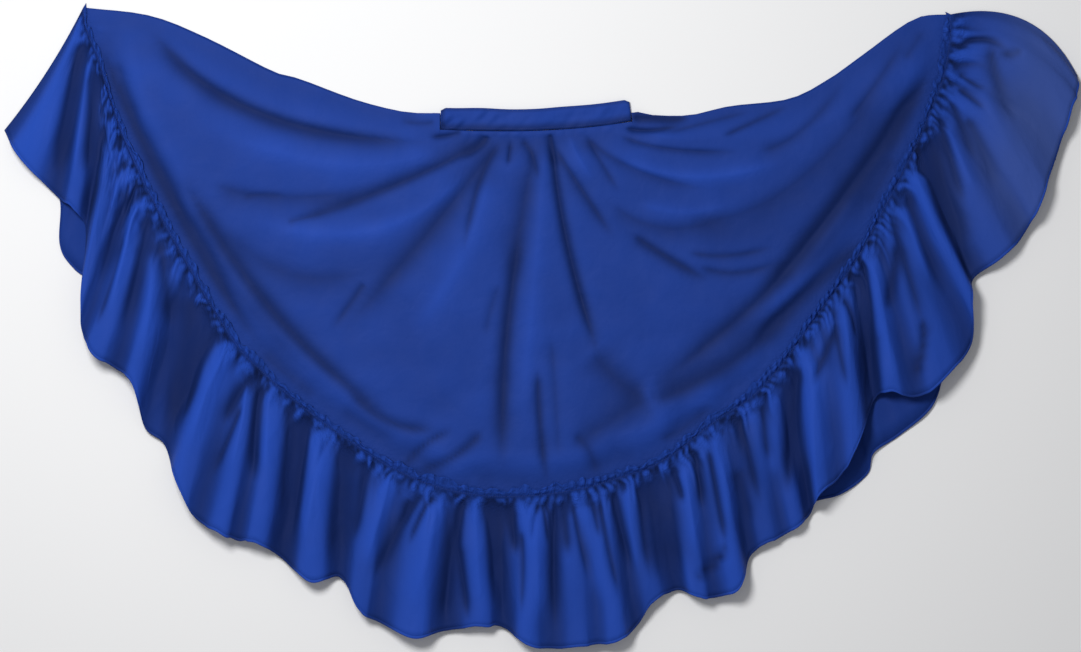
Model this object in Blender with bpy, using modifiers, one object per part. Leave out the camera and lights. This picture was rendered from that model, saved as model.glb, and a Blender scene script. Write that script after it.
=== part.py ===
"""Folklorico dance skirt, laid out flat and spread wide, front side up.

The frame has +X to the right of the picture, +Y towards the waist and +Z up from the surface that the
skirt lies on. The origin is the centre of the spread skirt, on that surface. The front pieces lie on
the back ones. Where an outline or a fold runs is tabled in pixels of a straight-down photograph, x to
the right and y down, and PIXEL turns these into metres.
"""

from collections import namedtuple

import bpy
import numpy as np

# Sizes in metres
SKIRT_LENGTH = 0.914  # top of the waistband to the hem, at the centre front
LENGTH_IN_PIXELS = 538  # the same length in the photograph
PIXEL = SKIRT_LENGTH / LENGTH_IN_PIXELS
CENTRE_X_PIXELS = 541
CENTRE_Y_PIXELS = 326.5

CLOTH = 0.002  # wall of every cloth layer
GAP = 0.0003  # between two pieces at a seam
BACK_TOP = CLOTH + GAP  # underside of the front layer where it lies on the back one
WAISTBAND_HEIGHT = 0.038
WAISTBAND_DEPTH = 0.008  # both layers of the flattened loop
WAISTBAND_WALL = 0.0024  # cloth over elastic
LEFT_OF_BAND_RISE = 0.028  # of the panels, beside its left end
RIGHT_OF_BAND_RISE = 0.015
WAIST_UNDERSIDE = WAISTBAND_DEPTH - CLOTH - GAP  # of the front panel, where it joins the waistband
PANEL_PUFF = 0.011  # air under the front panel between its folds
PANEL_SEAT = 0.012  # width along its seam where it lies flat, under the ruffle's heading
SEAM_SLOPE = 0.06  # width over which it rises from there
WAIST_SLOPE = 0.05  # the same from the waistband
EDGE_SHARE = 0.07  # share of its columns over which it rises from its side edges
YOKE = 0.012  # width round the waistband over which it runs straight out
BACK_PEEK = 0.003  # reach of the back panel past the front one, along its upper edges
CREASE_START = 0.25  # share of a crease's height that it has where it starts
CREASE_SWELL = 0.2  # share of its run that would take it to its full height
CREASE_FADE = 0.3  # share of its run over which it ends
RUFFLE_SEAT = BACK_TOP + CLOTH + GAP  # underside of the front ruffle where it laps the panel
RUFFLE_VALLEY = 0.0078  # underside of its valleys further out, over the back ruffle
VALLEY_RISE = 0.4  # share of its depth by which the valleys have risen there
VALLEY_FOLDS = 3  # folds from each of its ends, over which they rise there
FLUTE_RISE = 2  # 1 for flutes that rise evenly to the hem, more for ones that rise near the seam
HEADING = 0.009  # of the front ruffle, above its gathering stitches
PUCKER_LIFT = 0.0026  # of its gathers, where they are highest
PUCKER_PINCH = 0.35  # share of that height which the stitches leave
PUCKER_FADE = 0.45  # share of the ruffle's depth by which the gathers have gone
FOLD_STEEPNESS = 0.45  # 0 for plain waves, towards 1 for upright sides
BACK_RUFFLE_OFFSET = 2 * GAP  # from the seam outwards

# Pieces of the grids and curves
CURVE_POINTS = 1500
CREASE_POINTS = 60
TANGENT_SHARE = 0.004  # of a curve's length, before and after the point whose direction is asked
PANEL_ROWS = 18
HEADING_SHARE = 0.02  # of a panel's depth, that the front ruffle's heading covers
BACK_PANEL_ROWS = 5
COLUMNS_A_FOLD = 4  # of the front ruffle, from one fold line to the next
BACK_COLUMNS_A_FOLD = 3
FRONT_RUFFLE_DEPTHS = (0, 0.06, 0.2, 0.42, 0.7, 1)  # rows from the stitches to the hem
BACK_RUFFLE_DEPTHS = (0, 0.3, 0.65, 1)
BAND_COLUMNS = 24  # along each layer of the waistband
BAND_END_COLUMNS = 5  # round each end of the loop
BAND_ROWS = 2
BESIDE_BAND_SHARE = 0.07  # of a panel's columns, that start beside each end of the waistband

# A spot on an outline
Spot = namedtuple("Spot", "x y")
# A fold line of a ruffle, crest or valley: where it leaves the seam, where it meets the hem, its height
# there in millimetres, and how far its middle bows out to the left of the straight line, in pixels
Fold = namedtuple("Fold", "seam_x seam_y hem_x hem_y lift bow", defaults=[0])
# A crease of the panel: the three spots that its curve runs through, its height in millimetres, less
# than 0 for a trough, and its reach in pixels on the left and on the right of its run
Crease = namedtuple("Crease", "start_x start_y middle_x middle_y end_x end_y height left right")

WAISTBAND_LINE = [Spot(441, 119), Spot(490, 120.5), Spot(540, 120), Spot(590, 116.5), Spot(631, 111)]
LEFT_EDGE = [
    Spot(428, 114), Spot(400, 112), Spot(355, 101), Spot(300, 81), Spot(272, 73), Spot(205, 39),
    Spot(150, 17),
]
RIGHT_EDGE = [
    Spot(650, 117), Spot(690, 119), Spot(730, 108), Spot(790, 101), Spot(830, 81), Spot(862, 58),
    Spot(915, 20),
]
FRONT_FOLDS = [
    Fold(84, 8, 5, 131, 0, 4),
    Fold(85, 24, 22, 160, 20, 4),
    Fold(90, 38, 57, 196, 3),
    Fold(98, 58, 73, 208, 14),
    Fold(108, 90, 87, 230, 2),
    Fold(122, 132, 84, 300, 34),
    Fold(142, 178, 86, 335, 22),
    Fold(153, 200, 97, 355, 34),
    Fold(162, 218, 118, 369, 20),
    Fold(172, 237, 135, 383, 31),
    Fold(190, 268, 146, 428, 2),
    Fold(208, 300, 166, 446, 2),
    Fold(227, 331, 182, 490, 33),
    Fold(244, 354, 200, 520, 23),
    Fold(258, 368, 222, 533, 34),
    Fold(270, 379, 240, 540, 20),
    Fold(284, 391, 257, 541, 29),
    Fold(303, 407, 283, 558, 3),
    Fold(324, 423, 312, 582, 24),
    Fold(348, 440, 340, 577, 3),
    Fold(383, 463, 362, 610, 22),
    Fold(400, 472, 378, 620, 12),
    Fold(425, 483, 414, 637, 31),
    Fold(452, 491, 447, 631, 6),
    Fold(475, 495, 480, 626, 18),
    Fold(498, 497, 504, 628, 3),
    Fold(532, 496, 530, 645, 30),
    Fold(553, 494, 554, 648, 18),
    Fold(572, 491, 580, 645, 29),
    Fold(588, 488, 598, 643, 20),
    Fold(601, 484, 617, 641, 27),
    Fold(614, 480, 637, 626, 8),
    Fold(629, 475, 652, 603, 16),
    Fold(650, 468, 676, 590, 2),
    Fold(676, 453, 700, 597, 26),
    Fold(691, 441, 717, 596, 16),
    Fold(706, 429, 739, 589, 28),
    Fold(724, 416, 750, 556, 4),
    Fold(740, 406, 768, 543, 13),
    Fold(755, 395, 783, 535, 6),
    Fold(768, 382, 797, 527, 14),
    Fold(785, 361, 811, 513, 1),
    Fold(801, 339, 818, 494, 37),
    Fold(819, 314, 838, 478, 29),
    Fold(834, 293, 854, 450, 37),
    Fold(852, 267, 874, 402, 2),
    Fold(865, 246, 890, 391, 29),
    Fold(875, 227, 914, 398, 19),
    Fold(884, 210, 941, 381, 29),
    Fold(895, 189, 970, 345, 17),
    Fold(906, 167, 971, 300, 26),
    Fold(917, 145, 974, 279, 2),
    Fold(927, 121, 1003, 257, 19),
    Fold(934, 103, 1023, 234, 9, 4),
    Fold(941, 86, 1038, 207, 23, 8),
    Fold(946, 68, 1055, 160, 11, 14),
    Fold(949, 50, 1070, 112, 22, 20),
    Fold(951, 32, 1078, 90, 12, 24),
    Fold(951, 15, 1077, 76, 0, 27),
]
BACK_FOLDS = [
    Fold(84, 8, 10, 131, 0, 4),
    Fold(88, 34, 38, 170, 4),
    Fold(99, 62, 60, 198, 0),
    Fold(110, 98, 61, 246, 4),
    Fold(119, 124, 75, 269, 1),
    Fold(130, 150, 96, 285, 4),
    Fold(151, 196, 104, 330, 0),
    Fold(175, 242, 132, 365, 4),
    Fold(201, 288, 155, 415, 0),
    Fold(228, 332, 195, 460, 4),
    Fold(258, 368, 222, 512, 0),
    Fold(290, 397, 264, 528, 4),
    Fold(325, 424, 314, 562, 0),
    Fold(362, 449, 352, 565, 4),
    Fold(402, 473, 392, 608, 0),
    Fold(440, 488, 436, 615, 4),
    Fold(480, 496, 482, 612, 0),
    Fold(520, 497, 520, 618, 4),
    Fold(560, 493, 562, 625, 0),
    Fold(600, 484, 610, 620, 4),
    Fold(640, 472, 655, 580, 0),
    Fold(680, 450, 700, 577, 4),
    Fold(716, 422, 738, 562, 0),
    Fold(746, 402, 775, 522, 4),
    Fold(772, 378, 812, 503, 0),
    Fold(795, 348, 843, 493, 3),
    Fold(812, 325, 868, 474, 0),
    Fold(828, 302, 874, 453, 4),
    Fold(845, 278, 899, 436, 1),
    Fold(860, 254, 932, 407, 4),
    Fold(875, 228, 944, 368, 0),
    Fold(892, 194, 948, 330, 4),
    Fold(910, 160, 960, 282, 0),
    Fold(925, 125, 1000, 240, 4),
    Fold(940, 90, 1042, 175, 0, 8),
    Fold(948, 58, 1062, 115, 4, 16),
    Fold(951, 15, 1071, 78, 0, 25),
]
CREASES = [
    Crease(150, 50, 290, 126, 462, 133, -12, 14, 20),
    Crease(180, 38, 292, 95, 436, 122, 15, 26, 24),
    Crease(497, 135, 400, 183, 292, 224, -10, 18, 12),
    Crease(480, 136, 350, 176, 215, 160, 13, 26, 30),
    Crease(503, 137, 428, 230, 335, 336, -9, 15, 20),
    Crease(490, 150, 380, 240, 250, 262, 13, 30, 32),
    Crease(512, 140, 499, 300, 488, 470, -13, 14, 16),
    Crease(508, 138, 462, 280, 400, 420, 14, 46, 26),
    Crease(545, 140, 534, 300, 520, 478, 12, 24, 20),
    Crease(551, 136, 572, 265, 612, 388, -14, 10, 16),
    Crease(586, 138, 610, 190, 628, 250, -8, 9, 12),
    Crease(575, 138, 625, 262, 652, 372, 12, 20, 30),
    Crease(626, 134, 705, 182, 790, 190, -7, 9, 14),
    Crease(618, 134, 680, 226, 770, 268, 9, 22, 28),
    Crease(936, 45, 818, 218, 648, 396, -16, 11, 15),
    Crease(915, 40, 785, 215, 620, 345, 15, 22, 34),
    Crease(930, 85, 820, 250, 690, 375, 7, 18, 16),
    Crease(850, 255, 757, 337, 655, 400, -8, 10, 10),
    Crease(860, 62, 785, 110, 690, 132, -6, 8, 10),
    Crease(910, 26, 842, 140, 735, 178, -6, 12, 14),
    Crease(97, 38, 175, 196, 264, 352, -11, 9, 8),
    Crease(110, 40, 210, 205, 350, 355, 12, 18, 14),
    Crease(190, 195, 302, 340, 444, 432, -12, 14, 11),
    Crease(300, 300, 372, 370, 450, 400, 9, 22, 26),
    Crease(488, 425, 448, 455, 398, 472, -8, 9, 10),
    Crease(537, 385, 541, 435, 544, 484, -6, 7, 7),
    Crease(588, 360, 600, 420, 608, 478, -8, 22, 26),
    Crease(640, 415, 715, 390, 780, 335, 7, 12, 12),
]


def place(spots):
    """Positions in metres, in the plane of the surface, of spots in the photograph."""
    x, y = np.moveaxis(np.asarray(spots, float), -1, 0)
    return np.stack([(x - CENTRE_X_PIXELS) * PIXEL, (CENTRE_Y_PIXELS - y) * PIXEL], axis=-1)


def smooth(share):
    """From 0 to 1, level at both ends."""
    share = np.clip(share, 0, 1)
    return share * share * (3 - 2 * share)


def through(knots, where):
    """Points on the Catmull-Rom curve through the knots, where 0 is the first knot and 1 the next."""
    ends = [2 * knots[:1] - knots[1:2], knots, 2 * knots[-1:] - knots[-2:-1]]
    padded = np.concatenate(ends)
    first = np.clip(np.floor(where).astype(int), 0, len(knots) - 2)
    f = (where - first).reshape(where.shape + (1,) * (knots.ndim - 1))
    a, b, c, d = (padded[first + step] for step in range(4))
    return b + 0.5 * f * (c - a + f * (2 * a - 5 * b + 4 * c - d + f * (3 * (b - c) + d - a)))


class Line:
    """A smooth curve through points, read by the share of its length."""

    def __init__(self, knots):
        self.points = through(knots, np.linspace(0, len(knots) - 1, CURVE_POINTS))
        steps = np.linalg.norm(np.diff(self.points, axis=0), axis=1)
        self.length = steps.sum()
        self.shares = np.concatenate([[0], np.cumsum(steps)]) / self.length

    def at(self, share):
        return np.stack([np.interp(share, self.shares, self.points[:, i]) for i in range(2)], axis=-1)

    def across(self, share):
        """Unit vectors across the curve, to the right of its run."""
        run = self.at(share + TANGENT_SHARE) - self.at(share - TANGENT_SHARE)
        run /= np.linalg.norm(run, axis=-1, keepdims=True)
        return np.stack([run[..., 1], -run[..., 0]], axis=-1)

    def nearest(self, points):
        """Share of the length at which the curve comes closest to each point."""
        return self.shares[np.linalg.norm(self.points - points[:, None], axis=-1).argmin(1)]


def waistband_line():
    return Line(place(WAISTBAND_LINE))


def seam_line():
    return Line(place([(fold.seam_x, fold.seam_y) for fold in FRONT_FOLDS]))


def waist_rows(columns):
    """The first two rows of a panel: along the waistband's lower edge and up beside its ends, then YOKE on.

    The second row is further down from that edge, and further out from the ends.
    """
    band = waistband_line()
    column = np.arange(columns + 1)
    beside = round(columns * BESIDE_BAND_SHARE)
    left, right = np.clip(1 - column / beside, 0, 1), np.clip(1 - (columns - column) / beside, 0, 1)
    share = np.clip((column - beside) / (columns - 2 * beside), 0, 1)
    down = band.across(share)
    along = np.stack([-down[:, 1], down[:, 0]], axis=-1)
    end = (share == 1) * 1.0 - (share == 0)
    turned = smooth(left + right)
    rise = LEFT_OF_BAND_RISE * left + RIGHT_OF_BAND_RISE * right
    rows = []
    for further in (0, YOKE):
        below = WAISTBAND_HEIGHT / 2 + GAP + further * (1 - turned) - rise
        beyond = end * (GAP + further * turned)
        rows.append(band.at(share) + down * below[:, None] + along * beyond[:, None])
    return rows


def fold_shares(folds, seam):
    """Shares of the seam at which the folds start."""
    share = seam.nearest(place([(fold.seam_x, fold.seam_y) for fold in folds]))
    share[0], share[-1] = 0, 1
    return share


def panel_plan(edges, seam, folds, rows, spread):
    """A patch between yoke, seam and side edges, blended from all four, with the waist's row before it."""
    waist, yoke = waist_rows(len(folds) - 1)
    hem = seam.at(fold_shares(folds, seam))
    u = np.linspace(0, 1, len(folds))
    v = np.append(np.linspace(0, 1 - HEADING_SHARE, rows - 1), 1)
    ends = zip((0, -1), edges)
    sides = [Line(np.concatenate([yoke[[end]], place(edge), hem[[end]]])) for end, edge in ends]
    left, right = (
        side.at(v) + side.across(v) * out * np.sin(np.pi * v)[:, None]
        for side, out in zip(sides, (spread, -spread))
    )
    u, v = u[:, None, None], v[None, :, None]
    ruled = (1 - v) * yoke[:, None] + v * hem[:, None] + (1 - u) * left[None] + u * right[None]
    corners = (1 - u) * ((1 - v) * yoke[0] + v * hem[0]) + u * ((1 - v) * yoke[-1] + v * hem[-1])
    return np.concatenate([waist[:, None], ruled - corners], axis=1)


def distance(plan, points):
    """How far each point of a plan is from the nearest of the points of a curve."""
    return np.linalg.norm(plan[..., None, :] - points, axis=-1).min(-1)


def crease_height(points, crease):
    """Height of one crease: a bell across its run, wider on one side, that tapers to both its ends."""
    start, middle, end = place([crease[0:2], crease[2:4], crease[4:6]])
    t = np.linspace(0, 1, CREASE_POINTS)[:, None]
    run = start * (1 - t) ** 2 + (4 * middle - start - end) * t * (1 - t) + end * t**2
    away = points[..., None, :] - run
    nearest = np.linalg.norm(away, axis=-1).argmin(-1)
    away = np.take_along_axis(away, nearest[..., None, None], axis=-2)[..., 0, :]
    step = np.gradient(run, axis=0)[nearest]
    on_left = step[..., 0] * away[..., 1] > step[..., 1] * away[..., 0]
    reach = np.where(on_left, crease.left, crease.right) * PIXEL
    share = nearest / (len(run) - 1)
    taper = smooth(share / CREASE_SWELL + CREASE_START) * smooth((1 - share) / CREASE_FADE)
    return crease.height / 1000 * np.exp(-(away**2).sum(-1) / reach**2) * taper


def front_panel_heights(plan, seam):
    """Underside of the front panel: it lies low along its edges and puffs up over the back panel."""
    u = np.linspace(0, 1, plan.shape[0])[:, None]
    from_waist = distance(plan, plan[:, 0]) - YOKE
    inside = smooth((distance(plan, seam.points) - PANEL_SEAT) / SEAM_SLOPE) * smooth(from_waist / WAIST_SLOPE)
    inside = inside * smooth(u / EDGE_SHARE) * smooth((1 - u) / EDGE_SHARE)
    relief = PANEL_PUFF + sum(crease_height(plan, crease) for crease in CREASES)
    waist = (WAIST_UNDERSIDE - BACK_TOP) * smooth(1 - from_waist / WAIST_SLOPE)
    return BACK_TOP + waist + np.maximum(relief, 0) * inside


def ruffle_plan(folds, seam, columns_a_fold, depths, steepness):
    """Points of a ruffle from its stitches to its hem, and each column's place among the folds.

    The seam is straight from fold to fold, as the panel's edge is. Further out the columns slide
    towards the sides of the folds, which steepens them.
    """
    shares = fold_shares(folds, seam)
    start = seam.at(shares)
    reach = place([(fold.hem_x, fold.hem_y) for fold in folds]) - start
    bow = np.array([fold.bow for fold in folds])[:, None] * PIXEL
    side = np.stack([-reach[:, 1], reach[:, 0]], axis=-1) / np.linalg.norm(reach, axis=1, keepdims=True)
    where = np.linspace(0, len(folds) - 1, columns_a_fold * (len(folds) - 1) + 1)
    number = np.arange(len(folds))
    rows = []
    for depth in depths:
        slid = where + steepness * depth * np.sin(2 * np.pi * where) / (2 * np.pi)
        root = np.stack([np.interp(slid, number, start[:, i]) for i in range(2)], axis=-1)
        rows.append(root + through(reach * depth + 4 * depth * (1 - depth) * bow * side, slid))
    return np.stack(rows, axis=1), where


def fold_heights(folds, where):
    """Heights at the hem, in a wave from each fold line to the next."""
    lift = np.array([fold.lift for fold in folds]) / 1000
    first = np.minimum(where.astype(int), len(folds) - 2)
    return lift[first] + (lift[first + 1] - lift[first]) * (1 - np.cos(np.pi * (where - first))) / 2


def make_piece(name, plan, heights, wall, material, collection, outside=1, closed=False):
    """An open sheet of quads through a grid of points, which Solidify gives its wall."""
    grid = np.concatenate([plan, heights[..., None]], axis=-1)
    number = np.arange(grid[..., 0].size).reshape(grid.shape[:2])
    if closed:
        number = np.concatenate([number, number[:1]])
    corners = np.stack([number[:-1, :-1], number[:-1, 1:], number[1:, 1:], number[1:, :-1]], axis=-1)
    mesh = bpy.data.meshes.new(name)
    mesh.from_pydata(grid.reshape(-1, 3).tolist(), [], corners.reshape(-1, 4).tolist())
    mesh.shade_smooth()
    mesh.materials.append(material)
    piece = bpy.data.objects.new(name, mesh)
    collection.objects.link(piece)
    solidify = piece.modifiers.new("Wall", "SOLIDIFY")
    solidify.thickness = wall
    solidify.offset = outside


def front_panel(seam, material, collection):
    plan = panel_plan((LEFT_EDGE, RIGHT_EDGE), seam, FRONT_FOLDS, PANEL_ROWS, 0)
    make_piece("front_panel", plan, front_panel_heights(plan, seam), CLOTH, material, collection)


def back_panel(seam, material, collection):
    plan = panel_plan((LEFT_EDGE, RIGHT_EDGE), seam, BACK_FOLDS, BACK_PANEL_ROWS, BACK_PEEK)
    make_piece("back_panel", plan, np.zeros(plan.shape[:2]), CLOTH, material, collection)


def front_ruffle(seam, material, collection):
    """It laps the panel by its heading, and is gathered by the stitches into puckers and flutes."""
    depths = np.array(FRONT_RUFFLE_DEPTHS)
    plan, where = ruffle_plan(FRONT_FOLDS, seam, COLUMNS_A_FOLD, depths, FOLD_STEEPNESS)
    outward = plan[:, 1] - plan[:, 0]
    outward /= np.linalg.norm(outward, axis=1, keepdims=True)
    plan = np.concatenate([plan[:, :1] - outward[:, None] * HEADING, plan], axis=1)
    depths = np.concatenate([[0], depths])
    from_end = np.minimum(where, where[-1] - where)[:, None]
    risen = smooth(depths / VALLEY_RISE) * smooth(from_end / VALLEY_FOLDS)
    valley = RUFFLE_SEAT + (RUFFLE_VALLEY - RUFFLE_SEAT) * risen
    flutes = fold_heights(FRONT_FOLDS, where)[:, None] * (1 - (1 - depths) ** FLUTE_RISE)
    pinch = 1 - (1 - PUCKER_PINCH) * (np.arange(len(depths)) == 1)
    pucker = (1 - np.cos(np.pi * np.arange(len(where)))) / 2 * PUCKER_LIFT
    puckers = pucker[:, None] * pinch * (1 - smooth(depths / PUCKER_FADE))
    make_piece("front_ruffle", plan, valley + flutes + puckers, CLOTH, material, collection)


def back_ruffle(seam, material, collection):
    depths = np.array(BACK_RUFFLE_DEPTHS)
    plan, where = ruffle_plan(BACK_FOLDS, seam, BACK_COLUMNS_A_FOLD, depths, 0)
    outward = plan[:, 1] - plan[:, 0]
    outward /= np.linalg.norm(outward, axis=1, keepdims=True)
    plan = plan + outward[:, None] * BACK_RUFFLE_OFFSET
    heights = fold_heights(BACK_FOLDS, where)[:, None] * smooth(depths)
    make_piece("back_ruffle", plan, heights, CLOTH, material, collection)


def waistband(material, collection):
    """A loop of elasticated band, pressed flat: out along the front layer and home along the back one."""
    line = waistband_line()
    radius = WAISTBAND_DEPTH / 2
    end = radius / line.length
    out = np.linspace(end, 1 - end, BAND_COLUMNS)
    turn = np.linspace(0, np.pi, BAND_END_COLUMNS + 2)[1:-1]
    share = np.concatenate([out, 1 - end + end * np.sin(turn), out[::-1], end - end * np.sin(turn)])
    flat = np.ones(BAND_COLUMNS)
    level = np.concatenate([flat, np.cos(turn), -flat, -np.cos(turn)])
    across = np.linspace(-0.5, 0.5, BAND_ROWS + 1) * WAISTBAND_HEIGHT
    plan = line.at(share)[:, None] + line.across(share)[:, None] * across[None, :, None]
    heights = np.repeat((radius + radius * level)[:, None], len(across), axis=1)
    make_piece("waistband", plan, heights, WAISTBAND_WALL, material, collection, outside=-1, closed=True)


def cloth_material(name, colour, roughness):
    material = bpy.data.materials.new(name)
    material.use_nodes = True
    shader = material.node_tree.nodes["Principled BSDF"]
    shader.inputs["Base Color"].default_value = (*colour, 1)
    shader.inputs["Roughness"].default_value = roughness
    shader.inputs["Metallic"].default_value = 0
    return material


def main():
    for old in list(bpy.data.objects):
        bpy.data.objects.remove(old, do_unlink=True)
    collection = bpy.data.collections.new("folklorico_skirt")
    bpy.context.scene.collection.children.link(collection)
    seam = seam_line()
    back_panel(seam, cloth_material("back_panel_cloth", (0.021, 0.060, 0.38), 0.64), collection)
    front_panel(seam, cloth_material("front_panel_cloth", (0.023, 0.068, 0.42), 0.62), collection)
    back_ruffle(seam, cloth_material("back_ruffle_cloth", (0.022, 0.064, 0.39), 0.64), collection)
    front_ruffle(seam, cloth_material("front_ruffle_cloth", (0.024, 0.074, 0.44), 0.62), collection)
    waistband(cloth_material("waistband_cloth", (0.020, 0.056, 0.36), 0.66), collection)


main()
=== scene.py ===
"""The looks of a folklorico dance skirt that lies on a pale floor, spread wide, front side up.

Every piece of cloth is a thin sheet on the form of its solid in the frame. Where outlines, folds and
creases run is tabled in pixels of a straight-down photograph of 1081 by 652, x to the right and y down,
and PIXEL turns these into metres of the frame. A ruffle is read by two parameters: the place along it,
counted in fold lines, and the depth from its gathering stitches, 0, to its hem, 1. A panel is read by the
share across it, from its left side edge to its right one, and the share down it, from waist to seam.
"""

from collections import namedtuple

import bpy
import numpy as np
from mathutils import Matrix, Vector


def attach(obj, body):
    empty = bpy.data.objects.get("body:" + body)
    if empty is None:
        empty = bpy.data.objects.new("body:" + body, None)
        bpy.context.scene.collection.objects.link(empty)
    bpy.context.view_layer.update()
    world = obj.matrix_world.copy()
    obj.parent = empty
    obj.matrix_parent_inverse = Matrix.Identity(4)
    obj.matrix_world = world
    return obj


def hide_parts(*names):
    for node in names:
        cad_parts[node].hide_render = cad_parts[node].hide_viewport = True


bl_info = {
    "name": "Folklorico Skirt Looks",
    "version": (1, 0, 0),
    "blender": (4, 5, 0),
    "location": "3D View > Sidebar > Skirt",
    "description": "Dresses the packed skirt in gathered cloth, hems, stitches and a studio stage",
    "category": "Object",
}

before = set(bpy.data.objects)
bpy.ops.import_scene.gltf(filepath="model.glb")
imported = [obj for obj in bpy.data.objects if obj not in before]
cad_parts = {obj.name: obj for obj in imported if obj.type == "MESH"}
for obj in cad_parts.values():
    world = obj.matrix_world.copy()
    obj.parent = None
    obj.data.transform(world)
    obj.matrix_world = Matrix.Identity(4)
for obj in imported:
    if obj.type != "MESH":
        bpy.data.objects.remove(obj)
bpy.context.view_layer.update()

# The photograph's scale and frame
SKIRT_LENGTH = 0.914  # metres from the top of the waistband to the hem, at the centre front
LENGTH_IN_PIXELS = 538  # the same length in the photograph
PIXEL = SKIRT_LENGTH / LENGTH_IN_PIXELS
CENTRE_X_PIXELS = 541
CENTRE_Y_PIXELS = 326.5
PHOTO_WIDTH = 1081

# Sizes in metres that the sheets share with the solids
GAP = 0.0003  # between two pieces at a seam
WAISTBAND_HEIGHT = 0.038
WAISTBAND_DEPTH = 0.008  # both layers of the flattened loop
LEFT_OF_BAND_RISE = 0.028  # of the panels, beside its left end
RIGHT_OF_BAND_RISE = 0.015
BESIDE_BAND_SHARE = 4 / 58  # of a panel's width, that starts beside each end of the waistband
PANEL_PUFF = 0.011  # air under the front panel between its folds
PANEL_SEAT = 0.012  # width along its seam where it lies flat, under the ruffle's heading
SEAM_SLOPE = 0.055  # width over which it rises from there
WAIST_SLOPE = 0.05  # the same from the waistband
EDGE_SHARE = 0.07  # share of its width over which it rises from its side edges
YOKE = 0.012  # width round the waistband over which it runs straight out
BACK_PEEK = 0.003  # reach of the back panel past the front one, along its upper edges
RUFFLE_VALLEY = 0.0078  # height of the front ruffle's valleys further out, over the back ruffle
VALLEY_RISE = 0.4  # share of its depth by which the valleys have risen there
VALLEY_FOLDS = 3  # folds from each of its ends, over which they rise there
FOLD_STEEPNESS = 0.45  # 0 for plain waves, towards 1 for upright sides
FLUTE_RISE = 2  # 1 for flutes that rise evenly to the hem, more for ones that rise near the seam

# The creases: a bell across each run, that swells and fades along it
CREASE_SAMPLES = 90
CREASE_SPAN = 3  # reaches, past which a crease is nothing
CREASE_SHARPNESS = 0.65  # 1 for a round bell, less for a pointed one
CREASE_BLEND = 4  # pixels across its run, over which one side's reach becomes the other's
CREASE_SWELL = 0.2  # share of its run that would take it to its full height
CREASE_START = 0.25  # share of its height that it has where it starts
CREASE_FADE = 0.3  # share of its run over which it ends
CREASE_SLOPE = 0.022  # metres over which the panel's creases start from the seam
WAIST_CREASE_START = 0.001  # and from the waistband: how far away, and over how much further
WAIST_CREASE_SLOPE = 0.012
RUFFLE_CREASE_START = 0.12  # share of the ruffle's depth over which its own creases start

Spot = namedtuple("Spot", "x y")
# A fold line: where it leaves the seam and meets the hem, its height there in millimetres, and how far
# its middle bows out to the left of the straight line, in pixels
Fold = namedtuple("Fold", "seam_x seam_y hem_x hem_y lift bow", defaults=[0])
# A crease: the three spots that its curve runs through, its height in millimetres, less than 0 for a
# trough, and its reach in pixels on the left and on the right of its run
Crease = namedtuple("Crease", "start_x start_y middle_x middle_y end_x end_y height left right")


def table(columns, *rows):
    """Rows of a table, whose values are read by the names of its columns."""
    return [columns(*row) for row in rows]


WAISTBAND_LINE = table(
    Spot,
    (441, 119), (490, 120.5), (540, 120), (590, 116.5), (631, 111),
)
LEFT_EDGE = table(
    Spot,
    (428, 114), (400, 112), (355, 101), (300, 81), (272, 73), (205, 39), (150, 17),
)
RIGHT_EDGE = table(
    Spot,
    (650, 115.5), (690, 116.5), (730, 108), (790, 101), (830, 81), (862, 58), (915, 20),
)
FRONT_FOLDS = table(
    Fold,
    (84, 8, 5, 131, 0, 4),
    (85, 24, 22, 160, 20, 4),
    (90, 38, 57, 196, 3),
    (98, 58, 73, 208, 14),
    (108, 90, 87, 230, 2),
    (122, 132, 84, 300, 34),
    (142, 178, 86, 335, 22),
    (153, 200, 97, 355, 34),
    (162, 218, 118, 369, 20),
    (172, 237, 135, 383, 31),
    (190, 268, 146, 428, 2),
    (208, 300, 166, 446, 2),
    (227, 331, 182, 490, 33),
    (244, 354, 200, 520, 23),
    (258, 368, 222, 533, 34),
    (270, 379, 240, 540, 20),
    (284, 391, 257, 541, 29),
    (303, 407, 283, 558, 3),
    (324, 423, 312, 582, 24),
    (348, 440, 340, 577, 3),
    (383, 463, 362, 610, 22),
    (400, 472, 378, 620, 12),
    (425, 483, 414, 637, 31),
    (452, 491, 447, 631, 6),
    (475, 495, 480, 626, 18),
    (498, 497, 504, 628, 3),
    (532, 496, 530, 645, 30),
    (553, 494, 554, 648, 18),
    (572, 491, 580, 645, 29),
    (588, 488, 598, 643, 20),
    (601, 484, 617, 641, 27),
    (614, 480, 637, 626, 8),
    (629, 475, 652, 603, 16),
    (650, 468, 676, 590, 2),
    (676, 453, 700, 597, 26),
    (691, 441, 717, 596, 16),
    (706, 429, 739, 589, 28),
    (724, 416, 750, 556, 4),
    (740, 406, 768, 543, 13),
    (755, 395, 783, 535, 6),
    (768, 382, 797, 527, 14),
    (785, 361, 811, 513, 1),
    (801, 339, 818, 494, 37),
    (819, 314, 838, 478, 29),
    (834, 293, 854, 450, 37),
    (852, 267, 874, 402, 2),
    (865, 246, 890, 391, 29),
    (875, 227, 914, 398, 19),
    (884, 210, 941, 381, 29),
    (895, 189, 970, 345, 17),
    (906, 167, 971, 300, 26),
    (917, 145, 974, 279, 2),
    (927, 121, 1003, 257, 19),
    (934, 103, 1023, 234, 9, 4),
    (941, 86, 1038, 207, 23, 8),
    (946, 68, 1055, 160, 11, 14),
    (949, 50, 1070, 112, 22, 20),
    (951, 32, 1078, 90, 12, 24),
    (951, 15, 1077, 76, 0, 27),
)
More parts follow.
